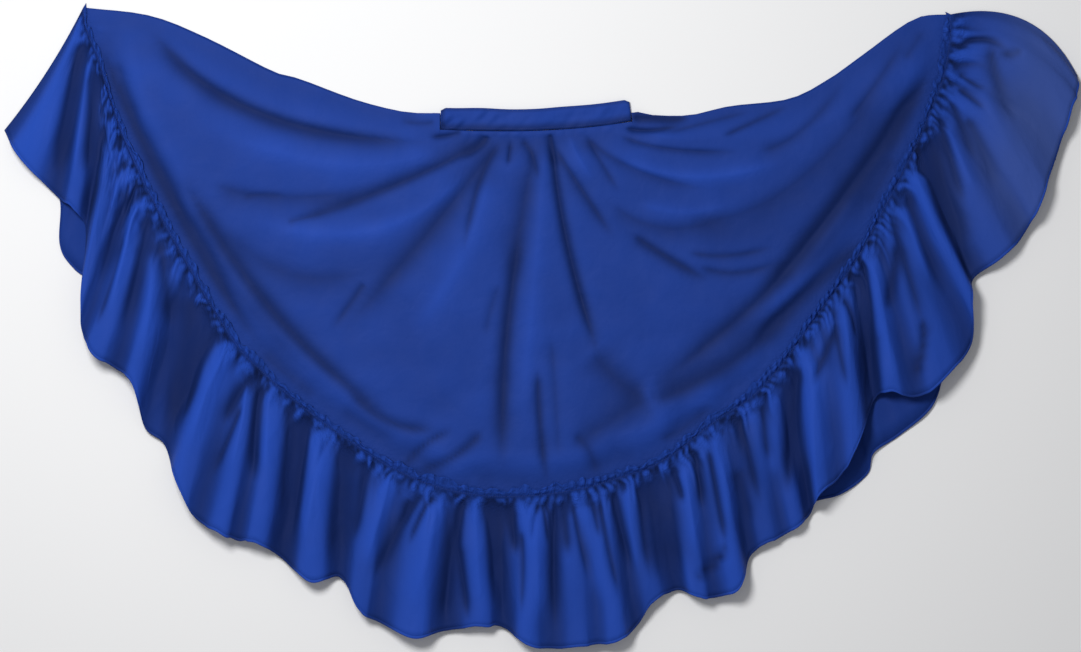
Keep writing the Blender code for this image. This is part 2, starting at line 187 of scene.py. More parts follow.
BACK_FOLDS = table(
    Fold,
    (84, 8, 10, 131, 0, 4),
    (88, 34, 38, 170, 4),
    (99, 62, 60, 198, 0),
    (110, 98, 61, 246, 4),
    (119, 124, 75, 269, 1),
    (130, 150, 96, 285, 4),
    (151, 196, 104, 330, 0),
    (175, 242, 132, 365, 4),
    (201, 288, 155, 415, 0),
    (228, 332, 195, 460, 4),
    (258, 368, 222, 512, 0),
    (290, 397, 264, 528, 4),
    (325, 424, 314, 562, 0),
    (362, 449, 352, 565, 4),
    (402, 473, 392, 608, 0),
    (440, 488, 436, 615, 4),
    (480, 496, 482, 612, 0),
    (520, 497, 520, 618, 4),
    (560, 493, 562, 625, 0),
    (600, 484, 610, 620, 4),
    (640, 472, 655, 580, 0),
    (680, 450, 700, 577, 4),
    (716, 422, 738, 562, 0),
    (746, 402, 775, 522, 4),
    (772, 378, 812, 503, 0),
    (795, 348, 843, 493, 3),
    (812, 325, 868, 474, 0),
    (828, 302, 874, 453, 4),
    (845, 278, 899, 436, 1),
    (860, 254, 932, 407, 4),
    (875, 228, 944, 368, 0),
    (892, 194, 948, 330, 4),
    (910, 160, 960, 282, 0),
    (925, 125, 1000, 240, 4),
    (940, 90, 1042, 175, 0, 8),
    (948, 58, 1062, 115, 4, 16),
    (951, 15, 1071, 78, 0, 25),
)
# The front panel's large creases. The solid has most of them, but its troughs are wider: here each one
# is as narrow as the dark line that it makes.
CREASES = table(
    Crease,
    (158, 38, 270, 117, 448, 143, -14, 5, 9),
    (440, 150, 330, 164, 190, 118, 5, 14, 14),
    (490, 140, 398, 185, 290, 224, -11, 5, 9),
    (470, 170, 370, 232, 240, 215, 6, 10, 12),
    (499, 142, 430, 232, 338, 338, -9, 12, 13),
    (490, 180, 462, 260, 410, 340, 5, 14, 14),
    (536, 146, 523, 215, 511, 290, -8, 11, 11),
    (520, 245, 506, 350, 503, 480, -13, 6, 7),
    (545, 150, 534, 300, 522, 420, 4, 12, 10),
    (552, 136, 568, 245, 602, 364, -15, 5, 5),
    (585, 136, 635, 170, 715, 192, -6, 4, 7),
    (588, 139, 602, 164, 622, 196, -5, 3, 5),
    (620, 158, 700, 178, 790, 158, 6, 9, 7),
    (690, 222, 795, 185, 900, 62, -6, 8, 32),
    (905, 120, 848, 218, 772, 306, -5, 12, 14),
    (792, 262, 744, 314, 652, 388, -9, 7, 9),
    (928, 76, 843, 198, 750, 314, -20, 8, 9),
    (652, 402, 732, 362, 800, 300, -11, 17, 10),
    (862, 244, 800, 297, 752, 345, -14, 8, 5),
    (760, 152, 806, 128, 850, 72, -5, 6, 6),
    (850, 120, 878, 82, 908, 36, -5, 5, 6),
    (102, 50, 174, 204, 264, 352, -15, 6, 5),
    (190, 190, 285, 325, 395, 420, -12, 8, 6),
    (350, 392, 395, 424, 442, 428, -8, 6, 5),
    (150, 150, 228, 278, 330, 392, -5, 13, 13),
    (482, 432, 452, 458, 400, 479, -8, 5, 5),
    (592, 352, 622, 384, 648, 400, -7, 14, 15),
    (650, 398, 612, 420, 570, 450, -6, 15, 15),
    (640, 432, 715, 392, 800, 318, 2, 9, 9),
)
# Its small creases, which only the sheet has
SMALL_CREASES = table(
    Crease,
    (215, 185, 285, 198, 372, 190, -4.5, 5, 12),
    (225, 228, 300, 277, 388, 262, -4.5, 10, 18),
    (244, 199, 264, 195, 290, 197, -3, 2.5, 3),
    (288, 224, 306, 218, 334, 212, -4, 3, 3),
    (500, 146, 478, 190, 463, 264, -7, 4, 4),
    (365, 284, 354, 300, 330, 334, -5, 4, 4),
    (500, 285, 491, 312, 486, 340, -3, 4, 5),
    (556, 150, 582, 190, 618, 244, -8, 4, 6),
    (612, 205, 668, 229, 735, 214, -4, 5, 12),
    (640, 205, 690, 213, 728, 203, 3, 7, 5),
    (634, 236, 668, 258, 712, 283, -9, 4, 6),
    (690, 253, 730, 256, 778, 246, -5, 3, 4),
    (700, 267, 738, 273, 780, 262, -5, 3, 5),
    (622, 137, 672, 150, 748, 152, -6.5, 3, 5),
    (668, 134, 712, 122, 752, 112, -5, 3, 3),
    (724, 137, 756, 122, 792, 105, -6.5, 3, 3),
    (626, 129, 652, 131, 682, 126, -12, 3, 3),
    (630, 118, 660, 119, 692, 119, -22, 6, 4),
    (462, 130, 448, 136, 428, 138, -9.5, 3, 4),
    (436, 122, 420, 124, 398, 121, -5, 3, 4),
    (488, 136, 480, 147, 460, 160, -9.5, 3, 5),
    (511, 143, 510, 155, 508, 168, -7, 3, 3),
    (521, 140, 533, 156, 539, 184, -6.5, 3, 4),
    (551, 134, 553, 148, 558, 172, -9.5, 2, 4),
    (570, 138, 580, 160, 596, 184, 3, 4, 6),
    (538, 372, 541, 430, 548, 486, -9, 4, 4),
    (552, 340, 556, 400, 560, 470, -3, 4, 5),
    (402, 472, 424, 446, 458, 428, -6.5, 3, 4),
    (118, 60, 128, 92, 142, 122, -3, 5, 5),
    (262, 352, 290, 378, 322, 402, -4, 6, 6),
    (340, 405, 372, 428, 402, 440, -3, 6, 7),
    (574, 436, 590, 452, 600, 484, -5, 6, 6),
    (660, 440, 690, 425, 712, 402, -5, 4, 5),
    (868, 205, 884, 178, 898, 150, -4, 5, 6),
    (905, 60, 915, 45, 925, 28, -4, 5, 5),
)
# The front ruffle's creases, which only the sheet has, from its left end to its right one
RUFFLE_CREASES = table(
    Crease,
    (82, 40, 70, 108, 57, 182, -13, 9, 6),
    (90, 62, 82, 120, 74, 182, 5, 5, 5),
    (96, 66, 92, 125, 88, 182, -13, 7, 7),
    (106, 124, 97, 175, 84, 232, -10, 7, 7),
    (118, 120, 104, 150, 98, 190, 5, 8, 8),
    (134, 196, 117, 228, 102, 290, -7, 6, 5),
    (126, 235, 114, 285, 98, 330, -7, 3, 4),
    (138, 205, 127, 250, 112, 318, 6, 4, 4),
    (150, 214, 140, 268, 122, 338, -8, 7, 5),
    (152, 250, 152, 305, 143, 365, 5, 6, 9),
    (160, 236, 167, 285, 172, 330, -9, 9, 10),
    (193, 296, 186, 355, 174, 440, -14, 14, 13),
    (222, 328, 200, 365, 184, 425, -11, 7, 6),
    (236, 345, 210, 390, 192, 455, 8, 10, 8),
    (262, 366, 240, 395, 225, 425, -8.5, 5, 5),
    (244, 405, 230, 440, 213, 478, -7, 3, 3),
    (248, 378, 243, 425, 232, 470, 4, 3, 3),
    (262, 382, 256, 430, 257, 484, -12, 5, 6),
    (270, 392, 268, 430, 268, 475, 6, 6, 7),
    (292, 402, 288, 450, 284, 520, -7, 8, 6),
    (310, 414, 302, 465, 292, 552, -13, 5, 7),
    (322, 426, 316, 480, 304, 545, 8, 9, 9),
    (333, 434, 322, 455, 314, 480, -5, 3, 3),
    (346, 444, 345, 458, 342, 472, -8, 5, 4),
    (354, 448, 342, 500, 332, 578, -8, 16, 14),
    (366, 458, 362, 500, 352, 545, -10, 5, 6),
    (392, 475, 380, 520, 364, 570, 7, 6, 7),
    (411, 498, 397, 535, 371, 580, -9, 5, 5),
    (424, 494, 412, 510, 402, 530, -7, 3, 3),
    (436, 496, 422, 516, 408, 550, -7.5, 4, 3),
    (438, 500, 430, 550, 413, 612, 6, 9, 11),
    (455, 530, 449, 580, 444, 625, -10, 5, 5),
    (466, 494, 460, 520, 457, 556, -11, 4, 5),
    (458, 545, 464, 580, 470, 625, -10, 5, 4),
    (474, 500, 478, 555, 481, 612, 3, 6, 6),
    (487, 496, 492, 545, 496, 610, -8.5, 6, 6),
    (498, 500, 501, 560, 503, 622, -8.5, 4, 6),
    (505, 500, 513, 525, 517, 558, -11, 5, 5),
    (522, 530, 524, 570, 521, 625, -7, 4, 4),
    (532, 505, 538, 560, 538, 628, 5, 9, 9),
    (540, 502, 535, 520, 533, 545, -7, 3, 3),
    (541, 502, 546, 520, 549, 548, -7, 3, 3),
    (556, 500, 554, 560, 556, 632, -9, 4, 4),
    (563, 500, 566, 525, 570, 560, -8.5, 6, 6),
    (573, 502, 578, 530, 590, 585, -7, 5, 3),
    (586, 505, 593, 550, 606, 610, 4, 8, 9),
    (592, 500, 596, 518, 600, 540, -5, 3, 3),
    (600, 498, 608, 545, 622, 605, -9, 4, 4),
    (612, 490, 620, 525, 634, 575, -8.5, 4, 4),
    (626, 490, 631, 530, 640, 580, 4, 5, 5),
    (640, 486, 643, 520, 650, 580, -8.5, 5, 4),
    (648, 478, 654, 525, 662, 590, -7, 12, 12),
    (668, 470, 674, 520, 684, 590, -7, 12, 10),
    (672, 468, 679, 485, 684, 505, -10, 4, 4),
    (684, 465, 691, 510, 697, 560, 6, 6, 6),
    (692, 448, 699, 475, 702, 512, -9, 4, 4),
    (708, 445, 718, 500, 727, 550, -10, 5, 4),
    (728, 545, 715, 562, 690, 582, -8.5, 4, 4),
    (712, 435, 726, 480, 738, 530, 5, 8, 8),
    (735, 470, 744, 495, 752, 528, -5, 8, 8),
    (741, 414, 748, 450, 762, 510, -9, 4, 5),
    (758, 410, 770, 450, 776, 480, 3, 6, 6),
    (762, 402, 765, 432, 770, 465, -7, 4, 4),
    (801, 365, 792, 425, 787, 500, -16, 8, 8),
    (812, 360, 812, 420, 815, 480, 8, 14, 12),
    (836, 330, 822, 362, 808, 392, -8.5, 5, 5),
    (834, 322, 840, 355, 848, 395, -7, 4, 4),
    (843, 300, 852, 318, 857, 345, -7, 4, 3),
    (850, 290, 855, 320, 858, 350, 3, 4, 4),
    (862, 258, 871, 325, 870, 408, -15, 4, 6),
    (876, 330, 878, 365, 874, 402, -5, 8, 6),
    (872, 262, 884, 320, 890, 385, 5, 6, 8),
    (897, 245, 893, 280, 882, 318, -8.5, 6, 5),
    (890, 215, 906, 268, 924, 335, -7, 6, 5),
    (922, 320, 921, 350, 912, 384, -8.5, 5, 5),
    (903, 205, 914, 240, 932, 290, 5, 4, 5),
    (905, 188, 921, 238, 944, 300, -6, 8, 4),
    (915, 170, 930, 215, 953, 265, 5, 6, 6),
    (917, 152, 921, 165, 927, 180, -10, 4, 4),
    (928, 134, 944, 190, 964, 250, -14, 11, 10),
    (938, 116, 951, 160, 964, 208, -10, 5, 5),
    (957, 225, 962, 250, 969, 278, -10, 3, 3),
    (945, 118, 960, 160, 975, 195, 3, 4, 4),
    (950, 102, 963, 130, 976, 164, -7, 4, 4),
    (966, 118, 983, 150, 998, 192, -8.5, 6, 6),
    (958, 90, 972, 100, 987, 113, -7, 3, 3),
    (958, 75, 972, 84, 988, 92, -7, 3, 3),
    (955, 52, 982, 40, 1012, 57, -8, 4, 4),
    (1002, 52, 1012, 56, 1020, 46, -8.5, 4, 4),
    (990, 46, 1000, 88, 1019, 126, -8.5, 5, 6),
    (975, 80, 995, 120, 1012, 165, 3, 8, 8),
)


def place(spots):
    """Positions in metres of spots in the photograph: from its centre, times the size of a pixel."""
    x, y = np.moveaxis(np.asarray(spots, float), -1, 0)
    return np.stack([(x - CENTRE_X_PIXELS) * PIXEL, (CENTRE_Y_PIXELS - y) * PIXEL], axis=-1)


def smooth(share):
    """From 0 to 1, level at both ends: three times the square less twice the cube."""
    share = np.clip(share, 0, 1)
    return share * share * (3 - 2 * share)


def through(knots, where):
    """Points on the Catmull-Rom curve through the knots, where 0 is the first knot and 1 the next."""
    knots = np.asarray(knots, float)
    where = np.asarray(where, float)
    padded = np.concatenate([2 * knots[:1] - knots[1:2], knots, 2 * knots[-1:] - knots[-2:-1]])
    first = np.clip(np.floor(where).astype(int), 0, len(knots) - 2)
    f = (where - first).reshape(where.shape + (1,) * (knots.ndim - 1))
    a, b, c, d = (padded[first + step] for step in range(4))
    return b + 0.5 * f * (c - a + f * (2 * a - 5 * b + 4 * c - d + f * (3 * (b - c) + d - a)))


class Line:
    """A smooth curve through points of the plan, read by the share of its length."""

    SAMPLES = 2400
    TANGENT_SHARE = 0.004  # before and after the point whose direction is asked

    def __init__(self, knots):
        self.points = through(knots, np.linspace(0, len(knots) - 1, self.SAMPLES))
        steps = np.linalg.norm(np.diff(self.points, axis=0), axis=1)
        self.length = steps.sum()
        self.shares = np.concatenate([[0], np.cumsum(steps)]) / self.length

    def at(self, share):
        return np.stack([np.interp(share, self.shares, self.points[:, i]) for i in range(2)], axis=-1)

    def across(self, share):
        """Unit vectors across the curve, to the right of its run."""
        run = self.at(share + self.TANGENT_SHARE) - self.at(share - self.TANGENT_SHARE)
        run /= np.linalg.norm(run, axis=-1, keepdims=True)
        return np.stack([run[..., 1], -run[..., 0]], axis=-1)

    def nearest(self, points):
        """Share of the length at which the curve comes closest to each point."""
        return self.shares[np.linalg.norm(self.points - points[:, None], axis=-1).argmin(1)]


def fold_starts(folds):
    """Share of the seam at which each fold line leaves it, from 0 to 1."""
    start = SEAM.nearest(place([(fold.seam_x, fold.seam_y) for fold in folds]))
    start[0], start[-1] = 0, 1
    return start


SEAM = Line(place([(fold.seam_x, fold.seam_y) for fold in FRONT_FOLDS]))
BAND = Line(place(WAISTBAND_LINE))
SEAM_STEP = 4  # of the seam's samples, one in so many is enough to measure distances from it


class Seed:
    """The number that each random pattern is drawn from."""

    TUCKS = 11
    PUCKERS = 12
    PANEL_DRIFT = 13
    PANEL_CRUMPLE = 14
    PANEL_SEAT = 15
    BROAD_GATHERS = 20
    FINE_GATHERS = 21
    MIDDLE_GATHERS = 22
    DRAPE = 23
    HEADING = 25
    CRUMPLE = 26
    GATHER_BEND = 27
    HEM = 29
    HEADING_WAVES = 30
    BACK_GATHERS = 31
    BACK_DRAPE = 32
    BAND_TOP = 41
    BAND_WRINKLES = 42
    BAND_LOW = 43
    AFTER_SWAY = 100  # added for the heights and reaches of gathers, whose sway uses the number itself


def wander(seed, where):
    """A smooth random value from about -1 to 1, which changes from one whole number to the next."""
    knots = np.random.default_rng(seed).uniform(-1, 1, int(np.max(where)) + 3)
    return through(knots, np.asarray(where) + 0.5)


def crinkle(seed, a, b):
    """Smooth random values from -1 to 1 over two parameters: a lattice of them, blended between."""
    a, b = np.broadcast_arrays(a, b)
    a, b = a - a.min(), b - b.min()
    lattice = np.random.default_rng(seed).uniform(-1, 1, (int(a.max()) + 2, int(b.max()) + 2))
    i, j = a.astype(int), b.astype(int)
    s, t = smooth(a - i), smooth(b - j)
    near = lattice[i, j] * (1 - t) + lattice[i, j + 1] * t
    far = lattice[i + 1, j] * (1 - t) + lattice[i + 1, j + 1] * t
    return near * (1 - s) + far * s


def distance(plan, points):
    """How far each point of a plan is from the nearest of the points of a curve, a few of them at a time."""
    at_a_time = 40
    best = np.full(plan.shape[:-1], np.inf)
    for part in np.array_split(points, max(1, len(points) // at_a_time)):
        best = np.minimum(best, np.linalg.norm(plan[..., None, :] - part, axis=-1).min(-1))
    return best


def swell(away, width):
    """1 at 0, and less on both sides by a Gaussian of this width."""
    return np.exp(-((away / width) ** 2))


# Panels


def waist_points(across, further):
    """The panels' upper end: up beside the waistband's ends, and along its lower edge between them.

    further is how far on it is from there: down from that edge, and out from the ends.
    """
    left = np.clip(1 - across / BESIDE_BAND_SHARE, 0, 1)
    right = np.clip(1 - (1 - across) / BESIDE_BAND_SHARE, 0, 1)
    share = np.clip((across - BESIDE_BAND_SHARE) / (1 - 2 * BESIDE_BAND_SHARE), 0, 1)
    down = BAND.across(share)
    along = np.stack([-down[..., 1], down[..., 0]], axis=-1)
    end = (share == 1) * 1.0 - (share == 0)
    turned = smooth(left + right)
    rise = LEFT_OF_BAND_RISE * left + RIGHT_OF_BAND_RISE * right
    below = WAISTBAND_HEIGHT / 2 + GAP + further * (1 - turned) - rise
    beyond = end * (2 * GAP + further * turned)
    return BAND.at(share) + down * below[..., None] + along * beyond[..., None]


def panel_plan(across, down, folds, spread):
    """A patch between yoke, seam and side edges, blended from all four by their shares.

    The part of down below 0 is the yoke, which runs straight from the waistband.
    """
    hem = SEAM.at(np.interp(across, np.linspace(0, 1, len(folds)), fold_starts(folds)))
    waist, yoke = waist_points(across, 0), waist_points(across, YOKE)
    v = np.clip(down, 0, 1)
    sides = []
    for end, edge, out in ((0, LEFT_EDGE, spread), (-1, RIGHT_EDGE, -spread)):
        side = Line(np.concatenate([yoke[[end]], place(edge), hem[[end]]]))
        sides.append(side.at(v) + side.across(v) * out * np.sin(np.pi * v)[:, None])
    u, v = across[:, None, None], v[None, :, None]
    ruled = (1 - v) * yoke[:, None] + v * hem[:, None] + (1 - u) * sides[0][None] + u * sides[1][None]
    corners = (1 - u) * ((1 - v) * yoke[0] + v * hem[0]) + u * ((1 - v) * yoke[-1] + v * hem[-1])
    part = np.clip(-down, 0, 1)[None, :, None]
    return (ruled - corners) * (1 - part) + waist[:, None] * part


def crease_height(plan, crease):
    """Height of one crease: a pointed bell across its run, wider on one side, that tapers to both ends."""
    start, middle, end = place([crease[0:2], crease[2:4], crease[4:6]])
    t = np.linspace(0, 1, CREASE_SAMPLES)[:, None]
    run = start * (1 - t) ** 2 + (4 * middle - start - end) * t * (1 - t) + end * t**2
    span = CREASE_SPAN * max(crease.left, crease.right) * PIXEL
    low, high = run.min(0) - span, run.max(0) + span
    heights = np.zeros(plan.shape[:-1])
    inside = np.all((plan > low) & (plan < high), axis=-1)
    away = plan[inside][:, None] - run
    nearest = (away**2).sum(-1).argmin(-1)
    away = away[np.arange(len(away)), nearest]
    step = np.gradient(run, axis=0)[nearest]
    step /= np.linalg.norm(step, axis=-1, keepdims=True)
    side = step[:, 0] * away[:, 1] - step[:, 1] * away[:, 0]
    blend = smooth(side / (CREASE_BLEND * PIXEL) + 0.5)
    reach = (crease.right + (crease.left - crease.right) * blend) * PIXEL
    share = nearest / (len(run) - 1)
    taper = smooth(share / CREASE_SWELL + CREASE_START) * smooth((1 - share) / CREASE_FADE)
    bell = np.exp(-(((away**2).sum(-1) / reach**2) ** CREASE_SHARPNESS))
    heights[inside] = crease.height / 1000 * bell * taper
    return heights


FLOAT = 0.0014  # metres over the layer below, under which a trough eases onto it


def eased(heights):
    """Heights, of which those under FLOAT never quite come down to 0."""
    return np.where(heights > FLOAT, heights, FLOAT * np.exp(np.minimum(heights / FLOAT - 1, 0)))


def creased(plan, creases):
    """Height of all the creases of a table together."""
    return sum(crease_height(plan, crease) for crease in creases)


SEAT_WANDER = 0.01  # metres by which the flat width along the seam grows and shrinks
SEAT_WAVES = 34  # times that it does so along the seam
SEAM_FLAT = 0.004  # width right by the seam, with no relief at all
SEAM_EASE = 0.008  # width over which the relief starts from there
DRIFT_HEIGHT = 0.0012  # of the slow ups and downs of the cloth, and their size along x and y
DRIFT_CELL = (0.055, 0.04)
TUCK_HEIGHT = 0.0018  # of the gathers under the waistband
TUCK_REACHES = (0.015, 0.06)  # the shortest and the longest
TUCK_START = 0.004
TUCKLESS_SHARE = 0.1  # of the panel's width at each side, where there are none
TUCK_EASE = 0.08  # share of its width over which they start from there
PUCKER_HEIGHT = 0.003  # of the gathers that the seam makes in the panel
PUCKER_REACHES = (0.018, 0.055)
PUCKERS_A_GATHER = 0.6  # of the ruffle
PUCKER_START = 0.006
PUCKERS_FROM = 1.25  # widths of the heading that covers the seam
PANEL_CRUMPLE_HEIGHT = 0.0007  # of the small crumples among them, their size and their reach
PANEL_CRUMPLE_CELL = 0.009
PANEL_CRUMPLE_REACH = 0.02
QUIET_SHARE = 0.03  # of the panel's width at each side, over which tucks and puckers start


def front_panel_surface(across, down, sizes):
    """The plan of the panel, and over it a low puff of air plus every crease.

    Towards its edges it comes down to the back panel. Small gathers run out from the waistband and from
    the seam: each is half a wave high where it starts and fades over its own random length.
    """
    plan = panel_plan(across, down, FRONT_FOLDS, 0)
    u = across[:, None]
    from_waist = distance(plan, plan[:, 0])
    from_seam = distance(plan, SEAM.points[::SEAM_STEP])
    edges = smooth(u / EDGE_SHARE) * smooth((1 - u) / EDGE_SHARE)
    seat = PANEL_SEAT + SEAT_WANDER * wander(Seed.PANEL_SEAT, u * SEAT_WAVES)
    inside = edges * smooth((from_seam - seat) / SEAM_SLOPE) * smooth((from_waist - YOKE) / WAIST_SLOPE)
    near = edges * smooth((from_seam - PANEL_SEAT) / CREASE_SLOPE)
    near = near * smooth((from_waist - WAIST_CREASE_START) / WAIST_CREASE_SLOPE)
    creases = sizes.crease_scale * creased(plan, CREASES + SMALL_CREASES)
    drift = DRIFT_HEIGHT * crinkle(Seed.PANEL_DRIFT, *np.moveaxis(plan / DRIFT_CELL, -1, 0))
    back_top = sizes.cloth + GAP
    waist = WAISTBAND_DEPTH - 2 * sizes.cloth - GAP - back_top
    relief = waist * smooth(1 - (from_waist - YOKE) / WAIST_SLOPE) + PANEL_PUFF * inside
    relief = eased(relief + (creases + drift) * near) * smooth((from_seam - SEAM_FLAT) / SEAM_EASE)
    tucks = gathers(Seed.TUCKS, across[:, None] * sizes.waist_gathers, from_waist, *TUCK_REACHES)
    under = smooth((u - TUCKLESS_SHARE) / TUCK_EASE) * smooth((1 - TUCKLESS_SHARE - u) / TUCK_EASE)
    tucks = tucks * TUCK_HEIGHT * smooth(from_waist / TUCK_START) * under
    count = across[:, None] * sizes.seam_gathers * PUCKERS_A_GATHER
    puckers = PUCKER_HEIGHT * gathers(Seed.PUCKERS, count, from_seam, *PUCKER_REACHES)
    crumple = crinkle(Seed.PANEL_CRUMPLE, *np.moveaxis(plan / PANEL_CRUMPLE_CELL, -1, 0))
    crumple = PANEL_CRUMPLE_HEIGHT * crumple * swell(from_seam, PANEL_CRUMPLE_REACH)
    puckers = (puckers + crumple) * smooth((from_seam - PUCKERS_FROM * sizes.heading) / PUCKER_START)
    quiet = smooth(u / QUIET_SHARE) * smooth((1 - u) / QUIET_SHARE)
    height = back_top + relief + (tucks + puckers) * quiet
    return np.concatenate([plan, height[..., None]], axis=-1)


def back_panel_surface(across, down):
    """The plan of the panel, flat on the floor, a little wider than the front one."""
    plan = panel_plan(across, down, BACK_FOLDS, BACK_PEEK)
    return np.concatenate([plan, np.zeros(plan.shape[:2] + (1,))], axis=-1)


GATHER_SWAY = 0.3  # gathers by which their count sways along the row, once in so many of them
GATHERS_A_SWAY = 3
LEAST_GATHER = 0.15  # height of the lowest gather, as a share of the highest one's
GATHER_POINT = 1.3  # 1 for the round ridge and sharp valley of a half wave, more for wider valleys


def gathers(seed, count, away, shortest, longest, bias=2):
    """A row of waves with round ridges and sharp valleys, each of its own random height and reach.

    The reach is how far from the line that gathers them each of them fades away. The higher bias is, the
    fewer of them reach far.
    """
    count = np.maximum(count + GATHER_SWAY * wander(seed, count / GATHERS_A_SWAY), 0)
    number = count.astype(int)
    chance = np.random.default_rng(seed + Seed.AFTER_SWAY)
    height = chance.uniform(LEAST_GATHER, 1, number.max() + 2)[number]
    reach = shortest + (longest - shortest) * chance.uniform(0, 1, number.max() + 2)[number] ** bias
    wave = np.abs(np.sin(np.pi * count)) ** GATHER_POINT
    return wave * height * (1 - smooth(away / reach))


# Ruffles


def ruffle_plan(folds, where, depth, steepness):
    """Seam plus a share of the way from there to the hem, both smooth along the folds.

    Further out the columns slide towards the sides of the folds, which steepens them.
    """
    start = fold_starts(folds)
    reach = place([(fold.hem_x, fold.hem_y) for fold in folds]) - SEAM.at(start)
    bow = np.array([fold.bow for fold in folds])[:, None] * PIXEL
    side = np.stack([-reach[:, 1], reach[:, 0]], axis=-1) / np.linalg.norm(reach, axis=1, keepdims=True)
    t = np.clip(depth, 0, 1)
    slid = where + steepness * t * np.sin(2 * np.pi * where) / (2 * np.pi)
    share = np.clip(np.interp(slid, np.arange(len(folds)), start), 0, 1)
    ways = through(reach, slid) * t[..., None] + through(bow * side, slid) * (4 * t * (1 - t))[..., None]
    outward = through(reach, where)
    outward /= np.linalg.norm(outward, axis=-1, keepdims=True)
    return SEAM.at(share) + ways, outward, share


VALLEY_SHARPNESS = 0.7  # 1 for round valleys between the flutes, less for sharper ones


def fold_heights(folds, where):
    """Heights at the hem, in a wave from each fold line to the next, sharper where it is low."""
    lift = np.array([fold.lift for fold in folds]) / 1000
    first = np.clip(where.astype(int), 0, len(folds) - 2)
    step = lift[first + 1] - lift[first]
    low = np.minimum(lift[first], lift[first + 1])
    rising = (1 - np.cos(np.pi * (where - first))) / 2
    return low + np.abs(step) * np.where(step > 0, rising, 1 - rising) ** VALLEY_SHARPNESS


# Rows of gathers along the seam, each run into by the finer row before it. merged: small gathers that
# make one of the row's. shortest, longest: their reaches, as shares of the ruffle's depth. bias: how rare
# the long ones are. start: the share of the depth over which the row starts
Gathers = namedtuple("Gathers", "merged shortest longest bias start")
FINE_GATHERS = Gathers(1, 0.1, 0.42, 1.5, 0.03)
MIDDLE_GATHERS = Gathers(2.3, 0.16, 0.7, 2, 0.05)
BROAD_GATHERS = Gathers(4.7, 0.5, 1.3, 1, 0.15)
GATHER_BEND = 0.9  # gathers by which each row bends to and fro, so often along the seam and down
BEND_WAVES = (90, 5)
BEND_START = 0.08
UNTURNED = 0.75  # how far gathers leave the seam's own square for the way of the flutes
TURN_DEPTH = 0.5  # share of the depth by which they do
HEADING_HALF = 0.5  # share of the heading by which it has its full height
HEADING_LIFT = 0.0026
HEADING_WIDTH = 1.05  # of sizes.heading on average, and how much that sways: two waves, so many each
HEADING_SWAY = 0.3
HEADING_WAVES = (260, 90)
CRUSHED_FROM, CRUSHED_TO = 0.03, 0.17  # shares of the seam between which the ruffle is crushed
CRUSHED_START, CRUSHED_END = 0.03, 0.04  # and over which that starts and ends
CRUMPLE_HEIGHT = 0.0024  # of the small crumples past the stitches, and what crushing adds to it
CRUSHED_HEIGHT = 0.0022
CRUMPLE_WAVES = (300, 26)  # along the seam and down
HEADING_CRUMPLES = 1.6  # more of them down the heading
CRUMPLE_REACH = 0.13  # share of the depth, and what crushing adds to it
CRUSHED_REACH = 0.22
END_FOLDS = 0.6  # folds from each end, over which gathers start
DRAPE_HEIGHT = 0.002  # of slow ups and downs, so many a fold and down
DRAPE_WAVES = (1.7, 2.4)
DRAPE_START = 0.2
HEM_SWAY = 0.0016  # of the hem's line, so many waves a fold
HEM_WAVES = 2.7
TROUGH_RISE = 0.55  # share of RUFFLE_VALLEY at which troughs stop, clear of the back ruffle's waves
TROUGH_RISE_DEPTH = 0.3  # share of the depth by which they stop there


def gather_row(seed, row, along, out):
    """One of the rows of gathers of the front ruffle."""
    return gathers(seed, along / row.merged, out, row.shortest, row.longest, row.bias)


